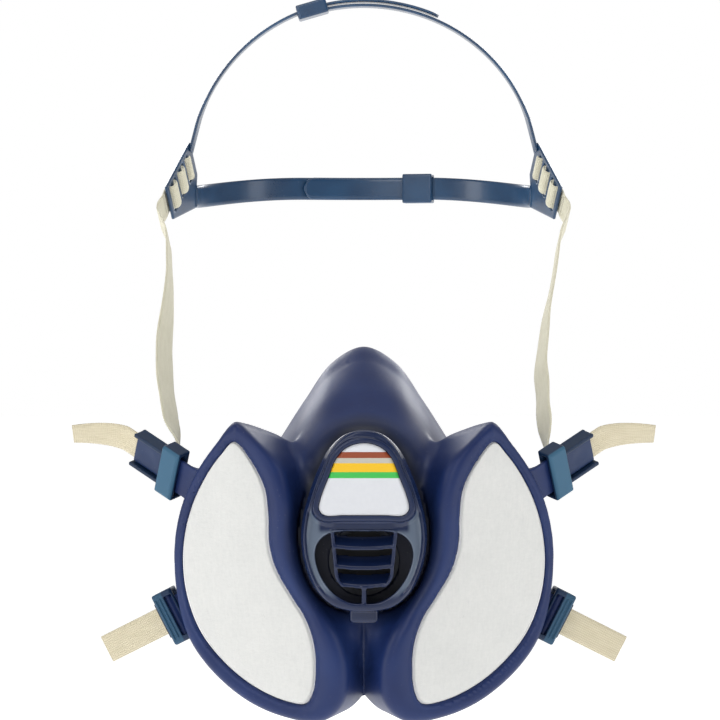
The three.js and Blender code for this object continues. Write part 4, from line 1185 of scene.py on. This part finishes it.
def on_front(w):
    """1 on the face of a block, 0 on its sides."""
    return np.clip((w - BLOCK[2] / 2 + 1.4) / 0.5, 0, 1)


def bar_painted_light(u, v, w):
    """Painted light: 0.6 on the outer half of a lower buckle's lit face, 0 in its shaded recess and
    on its shaded sides.
    """
    return 0.6 * on_front(w) * np.clip((u + 0.7) / 0.4, 0, 1)


def block_painted_light(u, v, w):
    """Painted light: 1 on the lit face of the block, 0 on its shaded sides and on the channel."""
    return on_front(w) * np.clip((BLOCK[0] / 2 + 0.3 - u) / 0.5, 0, 1)


# %% Buckles in place
BUCKLE_LOW = (-6, -13.5, -8.5)
BUCKLE_HIGH = (24, 13.5, 6)
LOWER_HIGH = (9, 13.5, 6)
LUG_LOW, LUG_HIGH = (-19, -11.5, -3), (2, 11.5, 3)
buckle_step = 0.42 * DRAFT
UPPER, LOWER = (UPPER_AT, upper_axes), (LOWER_AT, lower_axes)
BUCKLE_PIECES = (
    ("buckle_upper", "upper_buckle", upper_field, BUCKLE_HIGH, UPPER,
     buckle_teal, "buckle_teal", block_painted_light),
    ("grip_plate", "upper_lever", lever_field, BUCKLE_HIGH, UPPER,
     buckle_navy, "buckle_navy", None),
    ("buckle_lower", "lower_buckle", lower_field, LOWER_HIGH, LOWER,
     buckle_teal, "buckle_teal", bar_painted_light),
)
for side, hand in HANDS:
    for start, node, field, high, place, finish, slot, tone in BUCKLE_PIECES:
        name, node = f"{start}_{hand}", f"{node}_{hand}"
        mesh = local_piece(name, field, BUCKLE_LOW, high, buckle_step, *place, side, tone)
        finish_piece(name, mesh, finish, node, [node], slot)
    for start, place in (("lug_upper", UPPER), ("lug_lower", LOWER)):
        name = f"{start}_{hand}"
        lug = local_piece(name, lug_field, LUG_LOW, LUG_HIGH, buckle_step, *place, side)
        finish_piece(name, lug, soft_navy, "mask", (), "soft_navy")

# %% [markdown]
# ## Elastic straps
# Each strap is a flat band of woven elastic carried along a smooth path. Its section is a flat
# oval, a path point says where it runs, and a width direction says how it is turned. The band's
# own map runs in metres along and across it, which is what the weave reads.

# %% Strap maker


def steps_along(path):
    """Lengths of the steps from each point of a path to the next."""
    return np.linalg.norm(np.diff(path, axis=0), axis=1)


def run_along(steps):
    """How far along each point of a path is, from the lengths of its steps."""
    return np.concatenate([[0], np.cumsum(steps)])


def smooth_path(points, count):
    """Points evenly spaced along a centripetal Catmull-Rom curve through a list of points."""
    p = np.asarray(points, dtype=float)
    p = np.vstack([2 * p[0] - p[1], p, 2 * p[-1] - p[-2]])
    knots = run_along(np.sqrt(steps_along(p)))
    pieces = []
    for i in range(1, len(p) - 2):
        t = np.linspace(knots[i], knots[i + 1], 40)[:, None]

        def between(a, b, j, k):
            return (a * (knots[k] - t) + b * (t - knots[j])) / (knots[k] - knots[j])

        a1 = between(p[i - 1], p[i], i - 1, i)
        a2 = between(p[i], p[i + 1], i, i + 1)
        a3 = between(p[i + 1], p[i + 2], i + 1, i + 2)
        b1 = between(a1, a2, i - 1, i + 1)
        b2 = between(a2, a3, i, i + 2)
        pieces.append(between(b1, b2, i, i + 1))
    dense = np.vstack(pieces)
    run = run_along(steps_along(dense))
    places = np.linspace(0, run[-1], count)
    return np.stack([np.interp(places, run, dense[:, k]) for k in range(3)], axis=1)


RIM = 0.35  # how thick the very edge of a band is, beside its middle
PICOT = 0.14  # height of the small loops that the weft makes along both edges
PICOT_PITCH = 1.1


def band_mesh(name, path, widths, across, thickness, side=1, ripple=0.0, picot=0.0):
    """Closed band: at each path point a flat rounded section lies across the path.

    Ripple lifts it by a slow wave of that height in mm, and picot is the height of its edge loops.
    The map along_across holds metres along the path and across the band.
    """
    path = np.asarray(path, dtype=float)
    along = np.gradient(path, axis=0)
    along /= np.linalg.norm(along, axis=1, keepdims=True)
    thick = np.cross(along, across)
    thick /= np.linalg.norm(thick, axis=1, keepdims=True)
    width_way = np.cross(thick, along)
    run = run_along(steps_along(path))
    half = np.broadcast_to(np.asarray(widths, dtype=float) / 2, len(path))
    half = half + picot * np.abs(np.sin(np.pi * run / PICOT_PITCH))
    flat = np.linspace(-1, 1, 13)
    s = np.concatenate([flat, [1.0], flat[::-1], [-1.0]])
    edge = np.minimum((1 - np.abs(flat)) * 12, 1) ** 0.5
    t = np.concatenate([edge * 0.5, [0.0], -edge[::-1] * 0.5, [0.0]])
    t[0] = t[12] = 0.5 * RIM
    t[14] = t[26] = -0.5 * RIM
    wave = ripple * np.sin(run / 7.0) * np.cos(run / 23.0)
    points = (
        path[:, None]
        + width_way[:, None] * (half[:, None] * s[None])[..., None]
        + thick[:, None] * (t[None] * thickness + wave[:, None])[..., None]
    )
    first = points[:1].mean(axis=1, keepdims=True) + 0 * points[:1]
    last = points[-1:].mean(axis=1, keepdims=True) + 0 * points[-1:]
    points = np.concatenate([first, points, last])
    points[..., 0] *= side
    u = np.concatenate([[run[0]], run, [run[-1]]])
    mesh = grid_mesh(name, (points if side < 0 else points[:, ::-1]) * MM, close_v=True)
    v_of = np.broadcast_to(half.mean() * s, points.shape[:2])
    if side > 0:
        v_of = v_of[:, ::-1]
    u_of = np.broadcast_to(u[:, None], points.shape[:2])
    corners = corners_of(mesh)
    uv = np.stack([u_of.ravel()[corners], v_of.ravel()[corners]], axis=1) * MM
    layer = mesh.uv_layers.new(name="along_across")
    layer.data.foreach_set("uv", uv.astype(np.float32).ravel())
    return mesh


def smooth_step(t):
    """0 below 0, 1 above 1, and an S-shaped cubic between."""
    t = np.clip(t, 0, 1)
    return t * t * (3 - 2 * t)


# %% Free ends of the elastic
UPPER_TAIL_LOW = UPPER_FLOOR + GAP
LOWER_TAIL_LOW = -BLOCK[2] / 2 - GAP - 1.0


def tail_path(origin, axes, start, low, length, fall):
    """Path of a free end: straight in its buckle, then falling by a power of the way out."""
    t = np.linspace(0, 1, 240)
    beyond = np.maximum(t - 0.42, 0) / 0.58
    local = np.stack([start + t * length, 0 * t, np.full_like(t, low + 0.5)], axis=1)
    path = origin + local @ np.array(axes)
    path[:, 1:] -= fall * (beyond**1.3)[:, None]
    return path, beyond[:, None]


def add_tail(name, path, across, body, node, side):
    """Free end of the elastic."""
    mesh = band_mesh(name, path, STRAP_WIDTH, across, 1.0, side, picot=PICOT)
    piece = finish_piece(name, mesh, elastic_warm, body, [node], "elastic")
    length = float(steps_along(path).sum())


UPPER_TAIL, LOWER_TAIL = 56.5, 41
TAIL_FALL = 13
TAIL_LEAN = np.array([-0.1, -0.77, 0.63])
for side, hand in HANDS:
    start = BLOCK[0] / 2 + 0.6
    path, out = tail_path(UPPER_AT, upper_axes, start, UPPER_TAIL_LOW, UPPER_TAIL, TAIL_FALL)
    across = upper_axes[1] * (1 - out) + TAIL_LEAN * out
    add_tail(f"elastic_end_upper_{hand}", path, across, f"upper_tail_{hand}", f"upper_tail_{hand}",
             side)
    start = 0.5 - BLOCK[0] / 2
    path, _ = tail_path(LOWER_AT, lower_axes, start, LOWER_TAIL_LOW, LOWER_TAIL, 0)
    across = lower_axes[1] + 0 * path
    add_tail(f"elastic_end_lower_{hand}", path, across, f"lower_tail_{hand}", f"lower_tail_{hand}",
             side)

# %% [markdown]
# ## Head cradle
# The cradle is two flexible plastic halves. Each has a slotted panel at the side of the head that
# the elastic is woven through, a crown strap that goes over the head and a band that goes round
# the back of it. The straps lap in the middle and run through a loop on the other half.

# %% Cradle axes
CRADLE_HALF = 83.5
CROWN_RISE = 78.6
CROWN_WIDTH = 10.0
BAND_HEIGHT = 11.0
BAND_DEPTH = 54.0
CRADLE_THICKNESS = 1.4
LAP = CRADLE_THICKNESS + 0.6 + GAP
PANEL_START = np.array([CRADLE_HALF + 9, 90.0, 155.0])
PANEL_TURN = math.radians(17)
PANEL_SLOPE = math.radians(34.5)
rearwards = np.array([-math.sin(PANEL_TURN), math.cos(PANEL_TURN), 0.0])
strap_run = rearwards * math.cos(PANEL_SLOPE) + np.array([0, 0, math.sin(PANEL_SLOPE)])
strap_across = -rearwards * math.sin(PANEL_SLOPE) + np.array([0, 0, math.cos(PANEL_SLOPE)])
panel_axes = axes_of(strap_run, strap_across)
PANEL_LENGTH = 41.0
PANEL_HALF = 9.0
SLOT_FIRST, SLOT_PITCH, SLOT_WIDTH, SLOT_COUNT = 5.2, 6.4, 3.8, 5
BAND_START, BAND_LOW, BAND_RISE = 38.0, 160.0, 6.0
ARCH_Y, ARCH_Z = 124.0, 173.7
ARCH_START = 17  # degrees above level at which the crown strap leaves the panel
band_root = PANEL_START + rearwards * BAND_START


def in_panel(behind, height):
    """A place behind the panel's front and at a height, in the panel's own flat axes."""
    up = height - PANEL_START[2]
    return (
        behind * math.cos(PANEL_SLOPE) + up * math.sin(PANEL_SLOPE),
        -behind * math.sin(PANEL_SLOPE) + up * math.cos(PANEL_SLOPE),
    )


def straight_outline(corners, count=6):
    """Closed outline of straight sides, with points along each side."""
    c = np.asarray(corners, dtype=float)
    share = np.arange(count)[None, :, None] / count
    return (c[:, None] * (1 - share) + np.roll(c, -1, axis=0)[:, None] * share).reshape(-1, 2)


panel_corners = [
    (0, PANEL_HALF),
    (0, -PANEL_HALF),
    in_panel(BAND_START, BAND_LOW - BAND_HEIGHT / 2),
    in_panel(BAND_START, BAND_LOW + BAND_HEIGHT / 2),
    (PANEL_LENGTH, -PANEL_HALF),
    (PANEL_LENGTH, PANEL_HALF),
]
panel_shape = FlatShape(straight_outline(panel_corners), step=0.25, margin=12.0)


def panel_field(u, v, w):
    """Plate with a row of slots."""
    plate = common(panel_shape(u, v), np.abs(w) - CRADLE_THICKNESS / 2, 0.7)
    for i in range(SLOT_COUNT):
        at = SLOT_FIRST + i * SLOT_PITCH
        slot = common(np.abs(u - at) - SLOT_WIDTH / 2, np.abs(v) - STRAP_WIDTH / 2 - 0.65, 0.5)
        plate = cut(plate, slot, 0.4)
    return plate


# %% Cradle straps


def arch_path(end_angle, lift, count=90):
    """Crown strap: from the panel's top corner onto an ellipse over the head."""
    t = np.linspace(0, 1, count)
    a = np.radians(ARCH_START + t * (end_angle - ARCH_START))
    rise = lift * smooth_step(t * 1.4)
    arch = np.stack([
        (CRADLE_HALF + rise) * np.cos(a),
        0 * a + ARCH_Y,
        ARCH_Z + (CROWN_RISE + rise) * np.sin(a),
    ], axis=1)
    root = PANEL_START + (PANEL_LENGTH - 1.5) * panel_axes[0]
    root = root + (PANEL_HALF - CROWN_WIDTH / 2) * panel_axes[1]
    path = np.vstack([root, arch])
    across = np.broadcast_to([0.0, 1.0, 0.0], path.shape).copy()
    first = 0.4 * strap_run + np.array([0, 0.8, -0.2])
    blend = smooth_step(np.arange(len(path)) / 10)[:, None]
    across = first * (1 - blend) + across * blend
    return path, across


def band_path(end_angle, lift, count=90):
    """Back band: half an ellipse round the back of the head, rising a little from the panel."""
    t = np.linspace(0, 1, count)
    angle = -2 + t * (end_angle + 2)
    a = np.radians(angle)
    shift = lift * smooth_step(t * 1.4)
    rise = smooth_step(np.minimum(angle, 180 - angle) / 70)
    path = np.stack([
        (band_root[0] + shift) * np.cos(a),
        band_root[1] + (BAND_DEPTH + shift) * np.sin(a),
        BAND_LOW + BAND_RISE * rise,
    ], axis=1)
    return path, np.broadcast_to([0.0, 0.0, 1.0], path.shape)


def keeper_field(width):
    """Loop round two lapped straps: a rounded box less the window that they run through."""
    wall = 1.4
    side = width / 2 + GAP
    near = -(LAP + CRADLE_THICKNESS) / 2 - 0.6
    far = (LAP + CRADLE_THICKNESS) / 2 - 0.2

    def field(u, v, w):
        low, high = (-7.5, -side - wall, near - wall), (7.5, side + wall, far + wall)
        outer = box_field(u, v, w, low, high, 0.7)
        inner = box_field(u, v, w, (-20, -side, near), (20, side, far), 0.3)
        return cut(outer, inner, 0.3)

    return field


def end_widths(path, width, tip=5.0):
    """Width along a strap whose end is rounded: a half circle over the last stretch."""
    run = run_along(steps_along(path))
    left = np.clip((run[-1] - run) / tip, 0, 1)
    return width * np.sqrt(np.maximum(1 - (1 - left) ** 2, 0.02))


def cradle_half(hand, side, crown_end, crown_lift, band_end, band_lift, keeper):
    """All the pieces of one half, joined as one object of several closed shells."""
    name = f"cradle_{hand}_shell"
    step = 0.5 * DRAFT
    low, high = (-2, -26, -2.2), (44, 12, 2.2)
    pieces = [local_piece(name, panel_field, low, high, step, PANEL_START, panel_axes, side)]
    for (path, across), width in (
        (arch_path(crown_end, crown_lift), CROWN_WIDTH),
        (band_path(band_end, band_lift), BAND_HEIGHT),
    ):
        widths = end_widths(path, width)
        pieces.append(band_mesh(name, path, widths, across, CRADLE_THICKNESS, side))
    width, middle, along, up = keeper
    low, high = (-9, -9, -6), (9, 9, 6)
    axes = axes_of(along, up)
    pieces.append(local_piece(name, keeper_field(width), low, high, step, middle, axes, side))
    mesh = joined_mesh(name, pieces)
    finish_piece(name, mesh, cradle_blue, "harness", [f"cradle_{hand}"], "cradle_blue")


def joined_mesh(name, meshes):
    """One mesh that holds the shells of several."""
    points, faces, start = [], [], 0
    for mesh in meshes:
        co = np.empty(len(mesh.vertices) * 3, dtype=np.float32)
        mesh.vertices.foreach_get("co", co)
        points.append(co.reshape(-1, 3))
        faces.append(corners_of(mesh).reshape(-1, 4) + start)
        start += len(mesh.vertices)
    return mesh_from(name, np.vstack(points), np.vstack(faces))


CROWN_LOOP, BAND_LOOP = math.radians(107), math.radians(110)
crown_loop_at = np.array([
    (CRADLE_HALF + LAP / 2) * math.cos(CROWN_LOOP),
    ARCH_Y,
    ARCH_Z + (CROWN_RISE + LAP / 2) * math.sin(CROWN_LOOP),
])
crown_loop_along = (-CRADLE_HALF * math.sin(CROWN_LOOP), 0, CROWN_RISE * math.cos(CROWN_LOOP))
band_loop_at = np.array([
    (band_root[0] - LAP / 2) * math.cos(BAND_LOOP),
    band_root[1] + (BAND_DEPTH - LAP / 2) * math.sin(BAND_LOOP),
    BAND_LOW + BAND_RISE,
])
band_loop_along = (-band_root[0] * math.sin(BAND_LOOP), BAND_DEPTH * math.cos(BAND_LOOP), 0)
cradle_half("left", 1, 111, 0, 112, -LAP, (CROWN_WIDTH, crown_loop_at, crown_loop_along, (0, 1, 0)))
cradle_half("right", -1, 115, LAP, 115, 0, (BAND_HEIGHT, band_loop_at, band_loop_along, (0, 0, 1)))

# %% Elastic woven through the cradle


def weave_path():
    """In and out through the slots: points that change side at each slot."""
    rise = CRADLE_THICKNESS / 2 + 0.5 + GAP
    stations = [(-2.6, 1)]
    for i in range(SLOT_COUNT):
        at = SLOT_FIRST + i * SLOT_PITCH
        way = 1 if i % 2 == 0 else -1
        stations += [(at - 0.95, way), (at + 0.95, -way)]
    stations.append((SLOT_FIRST + (SLOT_COUNT - 1) * SLOT_PITCH + 2.8, -1))
    local = np.array([(a, 0, way * rise) for a, way in stations], dtype=float)
    return PANEL_START + local @ np.array(panel_axes)


for side, hand in HANDS:
    path = smooth_path(weave_path(), 160)
    across = np.broadcast_to(panel_axes[1], path.shape)
    name = f"elastic_weave_{hand}"
    mesh = band_mesh(name, path, STRAP_WIDTH, across, 0.9, side)
    piece = finish_piece(name, mesh, elastic, "harness", [f"strap_weave_{hand}"], "elastic")
    length = float(steps_along(path).sum())

# %% [markdown]
# The head straps run from behind the upper buckles to the cradle. When the harness is drawn down
# they shorten.

# %% Head straps
HEAD_ROUTES = {
    "left": [
        (84.3, -35.7, 45.7), (82.7, -32.2, 53), (80.9, -25.4, 59.3), (80, -14.4, 68),
        (79.8, -3.4, 77), (80.8, 7.6, 86), (82.5, 18.6, 95), (84.8, 31, 106), (88.3, 46.1, 119),
        (91.4, 65, 136),
    ],
    "right": [
        (85.7, -35.6, 46), (87.6, -30.4, 54.5), (88.6, -19.9, 63.5), (89.4, -8.9, 72),
        (90.2, 5, 84), (90.3, 19.7, 96), (89.8, 35.1, 109), (90.4, 51.5, 123), (91.6, 66, 136.5),
    ],
}


def head_strap_path(hand):
    """Start behind the buckle, then the chosen points, then square into the cradle's panel."""
    behind = -BLOCK[2] / 2 - 0.5 - 0.27 * STRAP_WIDTH
    start = UPPER_AT + 2.4 * upper_axes[0] + behind * upper_axes[2]
    shift = start - np.array([85, -39.9, 38.1])
    points = [np.array(p) + shift * max(1 - i / 3, 0) for i, p in enumerate(HEAD_ROUTES[hand])]
    end = PANEL_START - 3.2 * panel_axes[0] + (CRADLE_THICKNESS / 2 + 0.85) * panel_axes[2]
    return smooth_path([start, *points, end - 8 * strap_run, end], 620)


HEAD_LEAN = {"left": np.array([0.43, -0.64, 0.64]), "right": np.array([0.60, -0.57, 0.57])}
for side, hand in HANDS:
    path = head_strap_path(hand)
    t = np.linspace(0, 1, len(path))
    leave = smooth_step(t / 0.12)[:, None]
    turn = smooth_step((t - 0.3) / 0.5)[:, None]
    across = upper_axes[1] * (1 - leave) + HEAD_LEAN[hand] * leave
    across = across * (1 - turn) + panel_axes[1] * turn
    name = f"elastic_head_{hand}"
    mesh = band_mesh(name, path, STRAP_WIDTH, across, 1.0, side, ripple=0.25, picot=PICOT)
    piece = finish_piece(name, mesh, elastic, None, [f"head_strap_{hand}"], "elastic")
    length = float(steps_along(path).sum())
    metres = path * (side, 1, 1) * MM
    tuple(metres[30])
    tuple(metres[-9])
    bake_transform(piece)

# %% Neck straps
NECK_ROUTE = [(82.4, -28.4, -29.2), (78.4, -17, -31.5), (71, 4, -36.5), (65, 30, -40.5),
              (56, 55, -42),
              (42, 72, -43), (26, 80, -43), (13.5, 82, -43)]


def neck_strap_path():
    """From behind a lower buckle round to the clip at the back of the neck."""
    start = LOWER_AT + 0.6 * lower_axes[0] + (-BLOCK[2] / 2 - 1.7 - 1.6 - 1.0) * lower_axes[2]
    shift = start - np.array([84.7, -36.2, -29.9])
    points = [np.array(p) + shift * max(1 - i / 3, 0) for i, p in enumerate(NECK_ROUTE)]
    return smooth_path([start, *points], 620)


for side, hand in HANDS:
    path = neck_strap_path()
    turn = smooth_step(np.linspace(0, 3, len(path)))[:, None]
    across = lower_axes[1] * (1 - turn) + np.array([0, 0, 1.0]) * turn
    name = f"elastic_neck_{hand}"
    mesh = band_mesh(name, path, STRAP_WIDTH, across, 1.0, side, ripple=0.2, picot=PICOT)
    piece = finish_piece(name, mesh, elastic, None, [f"neck_strap_{hand}"], "elastic")
    length = float(steps_along(path).sum())
    metres = path * (side, 1, 1) * MM
    tuple(metres[60])
    tuple(metres[-24])
    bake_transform(piece)

# %% [markdown]
# ## Working parts that stay as they are
# The cases, carbon packs, valve seats and flaps and the neck clip are right as the frame has
# them. They get their finishes and nothing else.

# %% Finishes for the carried-over nodes
NODE_FINISHES = {
    "cartridge_case": case_grey,
    "carbon_bed": carbon,
    "inhalation_seat": case_grey,
    "inhalation_flap": silicone,
    "exhalation_seat": case_grey,
    "exhalation_flap": flap_painted_shade,
    "neck_clip_eye": buckle_navy,
    "neck_clip_hook": buckle_navy,
}
for node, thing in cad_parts.items():
    for start, finish in NODE_FINISHES.items():
        if node.startswith(start):
            thing.data.materials.clear()
            thing.data.materials.append(finish)
            print(node, "gets", finish.name)
